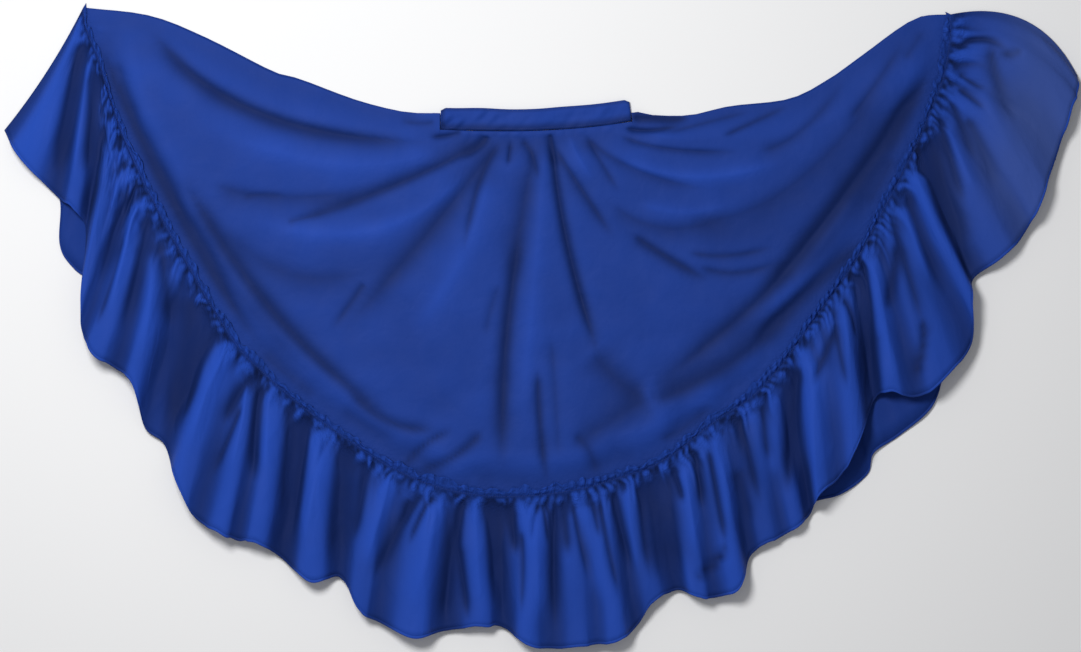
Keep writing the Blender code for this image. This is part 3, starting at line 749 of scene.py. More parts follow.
def front_ruffle_surface(where, depth, sizes):
    """Valley floor, plus flutes that rise towards the hem, plus gathers that the stitches pinch.

    Each gather is a wave of its own height and reach. It is pinched low at the stitches, full just past
    them and in the heading above them, and gone by its own depth. Broader ones follow on from them.
    """
    where, depth = np.broadcast_arrays(where, depth)
    plan, outward, share = ruffle_plan(FRONT_FOLDS, where, depth, FOLD_STEEPNESS)
    heading, out = np.clip(-depth, 0, 1), np.clip(depth, 0, 1)
    from_end = np.minimum(where, len(FRONT_FOLDS) - 1 - where)
    ends = smooth(from_end / END_FOLDS)
    seat = 2 * (sizes.cloth + GAP)
    valley = seat + (RUFFLE_VALLEY - seat) * smooth(out / VALLEY_RISE) * smooth(from_end / VALLEY_FOLDS)
    flutes = sizes.fold_scale * fold_heights(FRONT_FOLDS, where) * (1 - (1 - out) ** FLUTE_RISE)

    bend = crinkle(Seed.GATHER_BEND, share * BEND_WAVES[0], out * BEND_WAVES[1])
    run = SEAM.across(share)
    lean = ((plan - SEAM.at(share)) * np.stack([-run[..., 1], run[..., 0]], axis=-1)).sum(-1) / SEAM.length
    square = share + lean * (1 - UNTURNED * smooth(out / TURN_DEPTH))
    along = np.clip(square, 0, 1) * sizes.seam_gathers + GATHER_BEND * bend * smooth(out / BEND_START)
    past = np.maximum(smooth(out / FINE_GATHERS.start), smooth(heading / HEADING_HALF))
    fine = sizes.gather_height * gather_row(Seed.FINE_GATHERS, FINE_GATHERS, along, out)
    fine = fine * (sizes.pinch + (1 - sizes.pinch) * past)
    middle = sizes.middle_height * gather_row(Seed.MIDDLE_GATHERS, MIDDLE_GATHERS, along, out)
    middle = middle * smooth(out / MIDDLE_GATHERS.start)
    broad = sizes.broad_height * gather_row(Seed.BROAD_GATHERS, BROAD_GATHERS, along, out)
    broad = broad * smooth(out / BROAD_GATHERS.start)

    crushed = smooth((share - CRUSHED_FROM) / CRUSHED_START) * smooth((CRUSHED_TO - share) / CRUSHED_END)
    down = depth * CRUMPLE_WAVES[1] + heading * HEADING_CRUMPLES
    tall = CRUMPLE_HEIGHT + CRUSHED_HEIGHT * crushed
    crumple = tall * crinkle(Seed.CRUMPLE, share * CRUMPLE_WAVES[0], down)
    crumple = crumple * swell(out, CRUMPLE_REACH + CRUSHED_REACH * crushed) * past
    drape = DRAPE_HEIGHT * crinkle(Seed.DRAPE, where * DRAPE_WAVES[0], out * DRAPE_WAVES[1])
    drape = drape * smooth(out / DRAPE_START)
    lift = HEADING_LIFT * smooth(heading / HEADING_HALF)
    creases = sizes.ruffle_crease_scale * creased(plan, RUFFLE_CREASES) * smooth(out / RUFFLE_CREASE_START)
    height = valley + flutes + ends * (fine + middle + broad + crumple + drape + lift) + creases
    rise = TROUGH_RISE * (RUFFLE_VALLEY - seat) * smooth(out / TROUGH_RISE_DEPTH) * ends
    height = seat + rise + eased(height - seat - rise)

    uneven = wander(Seed.HEADING, share * HEADING_WAVES[0])
    uneven = uneven + wander(Seed.HEADING_WAVES, share * HEADING_WAVES[1])
    width = sizes.heading * (HEADING_WIDTH + HEADING_SWAY * uneven) * heading
    sway = HEM_SWAY * wander(Seed.HEM, where * HEM_WAVES) * out**2
    return np.concatenate([plan + outward * (sway - width)[..., None], height[..., None]], axis=-1)


BACK_GATHER_HEIGHT = 0.0022
BACK_GATHERS_MERGED = 2  # small gathers of the front that make one of these
BACK_GATHER_REACHES = (0.2, 0.8)  # the shortest and the longest, as shares of the ruffle's depth
BACK_GATHER_START = 0.1
BACK_DRAPE_HEIGHT = 0.0008  # half the height of slow ups and downs, so many a fold and down
BACK_DRAPE_WAVES = 3
BACK_DRAPE_START = 0.3


def back_ruffle_surface(where, depth, sizes):
    """Low waves that grow from the seam to the hem, flat on the floor between them, with low gathers."""
    where, depth = np.broadcast_arrays(where, depth)
    plan, outward, share = ruffle_plan(BACK_FOLDS, where, depth, 0)
    waves = fold_heights(BACK_FOLDS, where) * smooth(depth)
    count = share * sizes.seam_gathers / BACK_GATHERS_MERGED
    fine = gathers(Seed.BACK_GATHERS, count, depth, *BACK_GATHER_REACHES)
    fine = fine * BACK_GATHER_HEIGHT * smooth(depth / BACK_GATHER_START)
    drape = 1 + crinkle(Seed.BACK_DRAPE, where * BACK_DRAPE_WAVES, depth * BACK_DRAPE_WAVES)
    drape = BACK_DRAPE_HEIGHT * drape * smooth(depth / BACK_DRAPE_START)
    ends = smooth(np.minimum(where, len(BACK_FOLDS) - 1 - where) / END_FOLDS)
    height = waves + (fine + drape) * ends
    return np.concatenate([plan + outward * 2 * GAP, height[..., None]], axis=-1)


# Meshes


def grid_faces(columns, rows, closed=False):
    """Corners of the quads of a grid, whose last column meets its first one if it is closed."""
    number = np.arange(columns * rows).reshape(columns, rows)
    if closed:
        number = np.concatenate([number, number[:1]])
    corners = [number[:-1, :-1], number[:-1, 1:], number[1:, 1:], number[1:, :-1]]
    return np.stack(corners, axis=-1).reshape(-1, 4)


def make_mesh(name, points, faces, flat=None):
    """A mesh object from arrays of points and quads, with an optional map of its cloth in metres."""
    mesh = bpy.data.meshes.new(name)
    mesh.vertices.add(len(points))
    mesh.vertices.foreach_set("co", np.asarray(points, np.float32).ravel())
    mesh.loops.add(faces.size)
    mesh.loops.foreach_set("vertex_index", faces.ravel().astype(np.int32))
    mesh.polygons.add(len(faces))
    mesh.polygons.foreach_set("loop_start", np.arange(0, faces.size, faces.shape[1], dtype=np.int32))
    mesh.update(calc_edges=True)
    mesh.shade_smooth()
    if flat is not None:
        layer = mesh.uv_layers.new(name="cloth")
        layer.data.foreach_set("uv", np.asarray(flat, np.float32)[faces.ravel()].ravel())
    obj = bpy.data.objects.new(name, mesh)
    bpy.context.scene.collection.objects.link(obj)
    return obj


def cloth_piece(name, surface, flat, thickness, material, slot, node, closed=False):
    """A sheet from a grid of points, given its thickness: upwards, or inwards from a closed loop."""
    faces = grid_faces(*surface.shape[:2], closed)
    piece = make_mesh(name, surface.reshape(-1, 3), faces, flat.reshape(-1, 2))
    piece.data.materials.append(material)
    wall = piece.modifiers.new("Cloth", "SOLIDIFY")
    wall.thickness = thickness
    wall.offset = -1 if closed else 1
    finish_piece(piece, slot, node)
    return piece


def finish_piece(piece, slot, *nodes):
    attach(piece, "root")
    if nodes:
        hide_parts(*nodes)


def lengths_along(points, axis):
    """Length run so far along one direction of a grid."""
    steps = np.linalg.norm(np.diff(points, axis=axis), axis=-1)
    pad = [(0, 0), (0, 0)]
    pad[axis] = (1, 0)
    return np.pad(np.cumsum(steps, axis=axis), pad)


def swept(path, right, up, profile):
    """A closed tube: the profile's points, carried along the path by its right and up vectors."""
    ring = path[:, None] + profile[None, :, :1] * right[:, None] + profile[None, :, 1:] * up[:, None]
    count = ring.shape[1]
    sides = grid_faces(len(path), count)
    wrap = np.arange(len(path) - 1) * count
    last = np.stack([wrap + count - 1, wrap, wrap + count, wrap + 2 * count - 1], axis=-1)
    return ring.reshape(-1, 3), np.concatenate([sides, last])


HEM_INSET = 0.42  # widths of the hem, by which its middle lies inside the cloth's edge


def hem_strip(name, surface, sizes, material, slot, sits):
    """A narrow rolled hem: a rounded strip round the cloth's edge, from one end of the hem to the other.

    Its section is an ellipse, the hem's width wide and its thickness high, and its middle runs inside the
    edge by a little less than half its width. sits lifts that middle from the cloth's own middle.
    """
    edge, inner = surface[:, -1], surface[:, -2]
    inward = inner - edge
    inward /= np.linalg.norm(inward, axis=1, keepdims=True)
    run = np.gradient(edge, axis=0)
    up = np.cross(run, inward)
    up /= np.linalg.norm(up, axis=1, keepdims=True)
    up *= np.sign(up[:, 2:])
    turn = np.linspace(0, 2 * np.pi, HEM_SIDES, endpoint=False)
    profile = np.stack([np.cos(turn) * sizes.hem_width, np.sin(turn) * sizes.hem_thickness], axis=-1) / 2
    path = edge + inward * sizes.hem_width * HEM_INSET + up * sizes.cloth / 2 + np.array([0, 0, sits])
    points, faces = swept(path, inward, up, profile)
    length = lengths_along(surface, 0)[:, -1]
    flat = np.stack(np.broadcast_arrays(length[:, None], turn[None] * sizes.hem_width / 2), axis=-1)
    piece = make_mesh(name, points, faces, flat.reshape(-1, 2))
    piece.data.materials.append(material)
    finish_piece(piece, slot)
    return piece


# A stitch's sections along it, as shares of its length and of its thickness, and the corners of each
STITCH_SECTIONS = ((0, 0.5), (0.3, 1), (0.7, 1), (1, 0.5))
STITCH_CORNERS = ((-1, -1), (1, -1), (1, 1), (-1, 1))


def stitch_row(path, up, sizes):
    """A row of short stitches along a path: points and quads of a small flat bar for each of them.

    Every bar is a stitch long, tapers at its ends and lies on the cloth along the path.
    """
    steps = np.linalg.norm(np.diff(path, axis=0), axis=1)
    run = np.concatenate([[0], np.cumsum(steps)])
    middle = np.arange(sizes.stitch_pitch, run[-1] - sizes.stitch_pitch, sizes.stitch_pitch)

    def on_path(where, vectors):
        return np.stack([np.interp(where, run, vectors[:, i]) for i in range(3)], axis=-1)

    start = on_path(middle - sizes.stitch_length / 2, path)
    along = on_path(middle + sizes.stitch_length / 2, path) - start
    lift = on_path(middle, up)
    lift /= np.linalg.norm(lift, axis=1, keepdims=True)
    across = np.cross(along, lift)
    across /= np.linalg.norm(across, axis=1, keepdims=True)
    bars = []
    for share, width in STITCH_SECTIONS:
        thread = sizes.stitch_thickness / 2 * width
        bars += [start + along * share + (across * x + lift * z) * thread for x, z in STITCH_CORNERS]
    points = np.stack(bars, axis=1)
    corners = len(STITCH_CORNERS)
    number = np.arange(len(bars))
    ring = number[:-corners].reshape(-1, corners)
    turned = np.roll(ring, -1, 1)
    sides = np.stack([ring, turned, turned + corners, ring + corners], axis=-1).reshape(-1, 4)
    one = np.concatenate([sides, [number[corners - 1 :: -1], number[-corners:]]])
    faces = one[None] + len(bars) * np.arange(len(points))[:, None, None]
    return points.reshape(-1, 3), faces.reshape(-1, 4)


def joined(rows):
    """One list of points and one of quads from several."""
    starts = np.cumsum([0] + [len(points) for points, _ in rows[:-1]])
    faces = [faces + start for (_, faces), start in zip(rows, starts)]
    return np.concatenate([points for points, _ in rows]), np.concatenate(faces)


# Materials


def link(tree, socket, value):
    """Give a socket another node's output, or a plain value."""
    if isinstance(value, bpy.types.NodeSocket):
        tree.links.new(value, socket)
    else:
        socket.default_value = value


def node(tree, kind, **inputs):
    """A new node with the named inputs, where _ stands for a space."""
    made = tree.nodes.new("ShaderNode" + kind)
    for name, value in inputs.items():
        link(tree, made.inputs[name.replace("_", " ")], value)
    return made


def calculate(tree, operation, first, second=0):
    """A Math node's result from two outputs or numbers."""
    made = node(tree, "Math")
    made.operation = operation
    for socket, value in zip(made.inputs, (first, second)):
        link(tree, socket, value)
    return made.outputs[0]


# Kinds of the groups' sockets. All others are plain numbers
SOCKET_KINDS = {"Cloth": "Vector", "Dye": "Color", "Faded": "Color", "Colour": "Color"}


def new_group(name, inputs, output):
    """A node group, its inputs' sockets and the socket of its one output."""
    group = bpy.data.node_groups.new(name, "ShaderNodeTree")
    for label in (*inputs, output):
        kind = "NodeSocket" + SOCKET_KINDS.get(label, "Float")
        group.interface.new_socket(label, in_out="OUTPUT" if label == output else "INPUT", socket_type=kind)
    given, result = group.nodes.new("NodeGroupInput"), group.nodes.new("NodeGroupOutput")
    return group, given.outputs, result.inputs[output]


SLUB_SHARE = 1.4  # height of the slubs, in heights of the weave
SMALL_RUMPLE_SHARE = 0.3  # height of the small rumples, in heights of the large ones
FACET_BEND = 0.03  # metres by which the large rumples bend the facets


def weave_group(name):
    """Height of a plain weave: two rows of threads that cross, each over the other by turns, and slubs.

    Cloth holds metres of cloth, Thread the spacing of the threads.
    """
    group, given, result = new_group(name, ("Cloth", "Thread"), "Height")
    place_on = node(group, "SeparateXYZ", Vector=given["Cloth"]).outputs
    turn = calculate(group, "DIVIDE", np.pi, given["Thread"])
    warp = calculate(group, "SINE", calculate(group, "MULTIPLY", place_on["X"], turn))
    weft = calculate(group, "SINE", calculate(group, "MULTIPLY", place_on["Y"], turn))
    slubs = node(group, "TexNoise", Vector=given["Cloth"], Scale=260, Detail=2)
    slubs = calculate(group, "MULTIPLY", slubs.outputs["Fac"], SLUB_SHARE)
    link(group, result, calculate(group, "ADD", calculate(group, "MULTIPLY", warp, weft), slubs))
    return group


def rumple_group(name):
    """Height of the fine rumples of thin cotton: soft noise, creased facets, and crumples by the seams.

    Cloth holds metres of cloth, with its second value down the gathers, Stretch how much longer the
    rumples are that way, Crease the share of facets and Pucker that of crumples.
    """
    group, given, result = new_group(name, ("Cloth", "Stretch", "Crease", "Pucker"), "Height")
    place_on = node(group, "SeparateXYZ", Vector=given["Cloth"]).outputs
    shorter = calculate(group, "DIVIDE", place_on["Y"], given["Stretch"])
    pulled = node(group, "CombineXYZ", X=place_on["X"], Y=shorter).outputs[0]
    large = node(group, "TexNoise", Vector=pulled, Scale=26, Detail=3, Roughness=0.45, Distortion=0.4)
    small = node(group, "TexNoise", Vector=pulled, Scale=75, Detail=2, Roughness=0.5)
    small = calculate(group, "MULTIPLY", small.outputs["Fac"], SMALL_RUMPLE_SHARE)
    bent = node(group, "VectorMath")
    bent.operation = "MULTIPLY_ADD"
    for socket, value in zip(bent.inputs, (large.outputs["Color"], (FACET_BEND, FACET_BEND, 0), pulled)):
        link(group, socket, value)
    facets = node(group, "TexVoronoi", Vector=bent.outputs[0], Scale=24).outputs["Distance"]
    facets = calculate(group, "MULTIPLY", facets, given["Crease"])
    crumples = node(group, "TexNoise", Vector=given["Cloth"], Scale=190, Detail=1, Distortion=0.8)
    crumples = calculate(group, "MULTIPLY", crumples.outputs["Fac"], given["Pucker"])
    height = calculate(group, "ADD", large.outputs["Fac"], small)
    link(group, result, calculate(group, "ADD", height, calculate(group, "ADD", facets, crumples)))
    return group


# Places of the first, second and mixed colour among a Mix node's sockets
FIRST_COLOUR, SECOND_COLOUR, MIXED_COLOUR = 6, 7, 2


def tone_group(name):
    """Colour of dyed cotton: slow drifts lighter and darker, painted shade in hollows, painted light on
    ridges, and paler, greyer where painted light shines through.

    The dye's value is 1, plus twice Drift times the noise over its middle, less the painted shade's depth
    times the painted shading over its own middle, which runs from 0 on a ridge, painted lightest, to 1 in the
    deepest trough.
    """
    inputs = ("Cloth", "Dye", "Faded", "Fade", "Drift", "Hollow", "Depth")
    group, given, result = new_group(name, inputs, "Colour")
    middle = 0.5
    noise = node(group, "TexNoise", Vector=given["Cloth"], Scale=7, Detail=3, Roughness=0.5).outputs["Fac"]
    drift = calculate(group, "MULTIPLY", calculate(group, "SUBTRACT", noise, middle), given["Drift"])
    lighter = calculate(group, "ADD", calculate(group, "MULTIPLY", drift, 2), 1)
    over = calculate(group, "SUBTRACT", given["Hollow"], middle)
    value = calculate(group, "SUBTRACT", lighter, calculate(group, "MULTIPLY", over, given["Depth"]))
    toned = node(group, "HueSaturation", Value=value, Color=given["Dye"])
    mix = node(group, "Mix", Factor=given["Fade"])
    mix.data_type = "RGBA"
    link(group, mix.inputs[FIRST_COLOUR], toned.outputs[0])
    link(group, mix.inputs[SECOND_COLOUR], given["Faded"])
    link(group, result, mix.outputs[MIXED_COLOUR])
    return group


def group_node(tree, name, build, **inputs):
    """A node of the named group. build makes that group the first time it is asked for."""
    made = node(tree, "Group")
    made.node_tree = bpy.data.node_groups.get(name) or build(name)
    for label, value in inputs.items():
        link(tree, made.inputs[label], value)
    return made.outputs[0]


def mask(tree, name):
    """The values that keep_mask kept on the cloth."""
    made = node(tree, "Attribute")
    made.attribute_name = name
    return made.outputs["Fac"]


RUMPLE_HEIGHT = 0.004  # metres, of the relief of rumples and of the weave
WEAVE_HEIGHT = 0.0001
RUMPLE_ROUGHNESS = 0.16  # added to the cloth's own, times the height of the rumples
ROUGHNESS_IN_DIPS = -0.1  # added everywhere, so that dips are smoother than the cloth's own


def set_shader(material, **inputs):
    """Give the material's Principled shader the named inputs, where _ stands for a space."""
    shader = material.node_tree.nodes["Principled BSDF"]
    for name, value in inputs.items():
        link(material.node_tree, shader.inputs[name.replace("_", " ")], value)


def cloth_material(name, finish, stretch, crease, shade=1):
    """Dyed cotton with a dull, slightly silky face: the weave and the rumples as relief, soft sheen, and
    painted shade, painted light on ridges and painted light shining through in its colour.
    """
    if name in bpy.data.materials:
        return bpy.data.materials[name]
    material = bpy.data.materials.new(name)
    material.use_nodes = True
    tree = material.node_tree
    unwrapped = node(tree, "UVMap")
    unwrapped.uv_map = "cloth"
    cloth = unwrapped.outputs["UV"]
    dye, lit_through = ((*(value * shade for value in colour), 1) for colour in (finish.dye, finish.lit_through))
    # the dye, with painted shade and painted light from the masks
    tone = group_node(
        tree,
        "dye_and_painted_shading",
        tone_group,
        Cloth=cloth,
        Dye=dye,
        Faded=lit_through,
        Fade=mask(tree, "painted_light_through"),
        Drift=finish.drift,
        Hollow=mask(tree, "painted_shading"),
        Depth=finish.painted_shade_depth,
    )
    pucker = calculate(tree, "MULTIPLY", mask(tree, "pucker"), finish.pucker)
    rumples = group_node(
        tree, "cloth_rumples", rumple_group, Cloth=cloth, Stretch=stretch, Crease=crease, Pucker=pucker
    )
    weave = group_node(tree, "plain_weave", weave_group, Cloth=cloth, Thread=finish.thread_spacing)
    soft = node(tree, "Bump", Height=rumples, Strength=finish.rumple, Distance=RUMPLE_HEIGHT)
    fine = node(tree, "Bump", Height=weave, Strength=finish.weave, Distance=WEAVE_HEIGHT)
    link(tree, fine.inputs["Normal"], soft.outputs["Normal"])
    rough = calculate(tree, "MULTIPLY", rumples, RUMPLE_ROUGHNESS)
    rough = calculate(tree, "ADD", rough, finish.roughness + ROUGHNESS_IN_DIPS)
    set_shader(
        material,
        Base_Color=tone,
        Roughness=rough,
        Normal=fine.outputs["Normal"],
        Sheen_Weight=finish.sheen,
        Sheen_Roughness=finish.sheen_spread,
        Sheen_Tint=(*finish.sheen_tint, 1),
        Specular_IOR_Level=finish.gloss,
    )
    return material


def plain_material(name, colour, roughness, sheen=0):
    if name in bpy.data.materials:
        return bpy.data.materials[name]
    material = bpy.data.materials.new(name)
    material.use_nodes = True
    set_shader(material, Base_Color=(*colour, 1), Roughness=roughness, Sheen_Weight=sheen)
    return material


def averaged(values, columns, rows):
    """Values of a grid, each averaged with its neighbours by a Gaussian so many columns and rows wide."""
    widths = 3  # of the Gaussian, by which the grid's edges are carried on outwards
    columns_on, rows_on = widths * columns, widths * rows
    padded = np.pad(values, ((columns_on, columns_on), (rows_on, rows_on)), mode="edge")
    across = np.fft.fftfreq(padded.shape[0])[:, None] * columns
    along = np.fft.rfftfreq(padded.shape[1])[None] * rows
    kept = np.exp(-2 * np.pi**2 * (across**2 + along**2))
    soft = np.fft.irfft2(np.fft.rfft2(padded) * kept, s=padded.shape)
    return soft[columns_on:-columns_on, rows_on:-rows_on]


def hollows(heights, columns, rows, deepest, creases, deepest_crease):
    """Painted shading from how deep each point lies below its neighbours: 0 on a ridge, painted lightest, 1
    at the deepest, painted darkest, and half on the level.

    creases is the tabled height of the creases alone, which counts in full, wide or narrow.
    """
    low = (averaged(heights, columns, rows) - heights) / deepest - creases / deepest_crease
    return 0.5 + 0.5 * np.tanh(low)


def keep_mask(piece, name, values):
    """Keeps, point by point, how much of an effect the cloth shows: painted light shining through, painted
    shading, or pucker.
    """
    layer = piece.data.attributes.new(name, "FLOAT", "POINT")
    layer.data.foreach_set("value", np.asarray(values, np.float32).ravel())


# Sizes and colours


def length(description, default):
    return bpy.props.FloatProperty(
        name=description, description=description, default=default, min=0, unit="LENGTH", precision=5
    )


def number(description, default, high=10.0):
    return bpy.props.FloatProperty(
        name=description, description=description, default=default, min=0, max=high, subtype="FACTOR"
    )


def colour(description, default):
    return bpy.props.FloatVectorProperty(
        name=description, description=description, default=default, size=3, min=0, max=1, subtype="COLOR"
    )


def count(description, default):
    return bpy.props.IntProperty(name=description, description=description, default=default, min=1)


class SkirtSizes(bpy.types.PropertyGroup):
    cloth: length("Thickness of the cloth", 0.0007)
    heading: length("Width of the ruffle's heading above its stitches", 0.013)
    gather_height: length("Height of the small gathers by the stitches", 0.0056)
    middle_height: length("Height of the gathers that these run into", 0.007)
    broad_height: length("Height of the broad gathers that reach the hem", 0.004)
    pinch: number("Share of a gather's height that is left under the stitches", 0.1, 1)
    seam_gathers: count("Small gathers along the front ruffle's seam", 176)
    waist_gathers: count("Gathers along the waistband", 19)
    fold_scale: number("Height of the ruffle's flutes, as a share of the tabled ones", 1.1, 2)
    crease_scale: number("Height of the panel's creases, as a share of the tabled ones", 0.5, 2)
    ruffle_crease_scale: number("Height of the ruffle's creases, as a share of the tabled ones", 0.8, 2)
    hem_width: length("Width of the rolled hem", 0.005)
    hem_thickness: length("Thickness of the rolled hem", 0.0013)
    stitch_length: length("Length of a stitch", 0.0026)
    stitch_pitch: length("Spacing of the stitches", 0.0036)
    stitch_thickness: length("Thickness of the thread", 0.00035)
    band_cloth: length("Thickness of the waistband's cloth", 0.0018)


class SkirtFinish(bpy.types.PropertyGroup):
    dye: colour("Colour of the cloth", (0.010, 0.043, 0.27))
    # painted light: the paler, greyer colour of thin cloth with light shining through it
    lit_through: colour("Colour of the cloth where it looks faded", (0.045, 0.085, 0.30))
    thread: colour("Colour of the sewing thread", (0.010, 0.040, 0.25))
    drift: number("How far the dye drifts lighter and darker", 0.10, 1)
    # painted shade in hollows and painted light on ridges: how far the colour is painted darker and lighter
    painted_shade_depth: number("How much deeper the colour is in hollows than on ridges", 1.25, 2)
    roughness: number("Roughness of the cloth", 0.62, 1)
    sheen: number("Sheen of the cloth", 0.03, 1)
    sheen_spread: number("Spread of the sheen", 0.45, 1)
    sheen_tint: colour("Tint of the sheen", (0.22, 0.42, 1.0))
    gloss: number("Gloss of the cloth", 0.14, 1)
    rumple: number("Depth of the fine rumples", 0.45, 1)
    pucker: number("Depth of the crumples by the seams", 2.5)
    weave: number("Depth of the weave", 0.5, 1)
    thread_spacing: length("Spacing of the weave's threads", 0.0005)


class SkirtStage(bpy.types.PropertyGroup):
    floor: colour("Colour of the floor", (0.9, 0.9, 0.905))
    sky: number("Strength of the light from all round", 0.29, 5)
    key_power: bpy.props.FloatProperty(
        name="Power of the main light", description="Power of the main light", default=69, min=0, unit="POWER"
    )
    key_size: length("Width of the main light", 1.0)
    key_place: bpy.props.FloatVectorProperty(
        name="Place of the main light",
        description="Place of the main light",
        default=(-0.9, 1.0, 2.7),
        unit="LENGTH",
    )
    lens: bpy.props.FloatProperty(
        name="Focal length of the camera in millimetres",
        description="Focal length of the camera in millimetres",
        default=135,
        min=10,
    )


# Pieces

# Columns and rows of the grids
FRONT_PANEL_GRID = (400, 110)
BACK_PANEL_GRID = (80, 24)
FRONT_RUFFLE_GRID = (1200, 33)
BACK_RUFFLE_GRID = (520, 16)
BAND_GRID = (240, 12)
HEADING_ROWS = 7  # more of the front ruffle, above its stitches
FRONT_YOKE_ROWS = 6  # more of the front panel, beside the waistband, and of the back one
BACK_YOKE_ROWS = 2
ROW_CROWDING = 1.6  # 1 for even rows of a ruffle, more for ones that crowd by the stitches
HEM_SIDES = 8

# Width and length of the flat cloth that shows of each piece, in metres
RUFFLE_DEPTH = 0.255  # from the stitches to the hem, along the cloth
HEADING_CLOTH = 0.009  # from the stitches to the heading's edge

# How many times longer the rumples are down the gathers than across, and the share of facets among them
PANEL_RUMPLES = {"stretch": 1, "crease": 0.5}
RUFFLE_RUMPLES = {"stretch": 2, "crease": 1.3}
BAND_RUMPLES = {"stretch": 1, "crease": 1}


def along_folds(folds, columns):
    """Places along a ruffle, in fold lines, that divide its seam into equal parts."""
    return np.interp(np.linspace(0, 1, columns), fold_starts(folds), np.arange(len(folds)))


def depths(rows, heading_rows):
    """Depths from the heading's edge, -1, past the stitches, 0, to the hem, 1, closest by the stitches."""
    heading = np.linspace(-1, 0, heading_rows, endpoint=False)
    return np.concatenate([heading, np.linspace(0, 1, rows) ** ROW_CROWDING])


def panel_rows(rows, yoke_rows):
    """Shares down a panel: the yoke's own, from -1 to 0, then on to the seam."""
    return np.concatenate([np.linspace(-1, 0, yoke_rows, endpoint=False), np.linspace(0, 1, rows)])


def ruffle_cloth(surface, depth):
    """The flat cloth of a ruffle in metres: its hem's length along, and its depth down."""
    along = lengths_along(surface, 0)[:, -1:]
    down = depth * np.where(depth < 0, HEADING_CLOTH, RUFFLE_DEPTH)
    return np.stack(np.broadcast_arrays(along, down), axis=-1)


def stitch_piece(name, rows, finish, slot):
    piece = make_mesh(name, *joined(rows))
    piece.data.materials.append(plain_material("sewing_thread", finish.thread, roughness=0.5, sheen=0.2))
    finish_piece(piece, slot)
    return piece


BAND_END = 0.009  # metres at each end over which the band grows narrower
TOP_NARROWED, LOW_NARROWED = 0.22, 0.02  # shares by which its two edges come in there
TOP_SWAY, LOW_SWAY = 0.0013, 0.001  # metres by which its edges wander, so many waves each
TOP_WAVES, LOW_WAVES = 7, 17
TOP_DROP = 0.002  # metres by which its crowned face falls at the upper edge, and less at the lower one
LOW_DROP_LESS = 0.0013
CROWN_FLATNESS = 4  # 2 for a round crown, more for one that only falls near the edges
WRINKLE_HEIGHT = 0.002  # of its wrinkles, and how much more at its left end
LEFT_WRINKLES = 0.0026
LEFT_REACH = 0.16  # share of its length over which the wrinkles are higher
WRINKLE_WAVES = (26, 2.5)  # along the band and down
WRINKLE_SLANT = 2.4  # waves by which they lean from edge to edge


def waistband_surface(around, high):
    """A loop of band, pressed flat: out along the front and home along the back, round at both ends.

    high is 0 at its upper edge and 1 at its lower one. Its front face is crowned between the two rows of
    stitches, and wrinkled most at its left end. The second result is the direction away from the cloth.
    """
    radius = WAISTBAND_DEPTH / 2
    end = radius / BAND.length
    legs = (1 - 2 * end, np.pi * end, 1 - 2 * end, np.pi * end)
    stops = np.concatenate([[0], np.cumsum(legs)])
    where = around * stops[-1]
    leg = np.clip(np.searchsorted(stops, where, side="right") - 1, 0, len(legs) - 1)
    part = (where - stops[leg]) / np.diff(stops)[leg]
    straight, turn = end + part * (1 - 2 * end), np.pi * part
    share = np.choose(leg, [straight, 1 - end + end * np.sin(turn), 1 - straight, end - end * np.sin(turn)])
    level = np.choose(leg, [np.ones_like(part), np.cos(turn), -np.ones_like(part), -np.cos(turn)])
    lean = np.choose(leg, [0 * part, np.sin(turn), 0 * part, -np.sin(turn)])
    down = BAND.across(share)
    along = np.stack([-down[:, 1], down[:, 0]], axis=-1)
    from_end = np.minimum(share, 1 - share)[:, None] * BAND.length
    share, high = share[:, None], high[None]
    narrowed = np.where(high < 0.5, TOP_NARROWED, LOW_NARROWED) * (1 - smooth(from_end / BAND_END))
    tall = (high - 0.5) * WAISTBAND_HEIGHT * (1 - narrowed)
    top = TOP_SWAY * wander(Seed.BAND_TOP, share * TOP_WAVES)
    low = LOW_SWAY * (0.5 + 0.5 * wander(Seed.BAND_LOW, share * LOW_WAVES))
    bow = top * smooth(1 - high) - low * smooth(high)
    plan = BAND.at(share[:, 0])[:, None] + down[:, None] * (tall + bow)[..., None]
    crown = (LOW_DROP_LESS * high - TOP_DROP) * (2 * high - 1) ** CROWN_FLATNESS
    slant = share * WRINKLE_WAVES[0] + high * WRINKLE_SLANT
    wrinkles = crinkle(Seed.BAND_WRINKLES, slant, high * WRINKLE_WAVES[1] + share)
    wrinkles = wrinkles * (WRINKLE_HEIGHT + LEFT_WRINKLES * np.exp(-share / LEFT_REACH))
    wrinkles = wrinkles * np.sqrt(np.sin(np.pi * high))
    level = level[:, None]
    heights = radius + radius * level + np.maximum(level, 0) * (crown + wrinkles)
    surface = np.concatenate([plan, heights[..., None]], axis=-1)
    out = np.concatenate([along * -lean[:, None], level], axis=1)
    return surface, np.repeat(out[:, None], high.size, axis=1)


# How much deeper the painted shade is past start, which it becomes over this width. A width under 0 means
# before it
PaintedShade = namedtuple("PaintedShade", "amount start width")
BAND_PAINTED_SHADING = 0.38  # painted shading of the band's face, a little lighter, and how much deeper the painted shade is by its edges and ends
LOW_EDGE_PAINTED_SHADE = PaintedShade(0.5, 0.55, 0.4)
TOP_EDGE_PAINTED_SHADE = PaintedShade(0.25, 0.16, -0.1)
BAND_END_PAINTED_SHADE = PaintedShade(0.3, 0.96, 0.04)
DEEPEST_PAINTED_SHADE = 0.92
BACK_PAINTED_SHADE = 0.6  # painted shade of the back's pieces, which lie under the front ones


def painted_shade_past(shade, where):
    return shade.amount * smooth((where - shade.start) / shade.width)


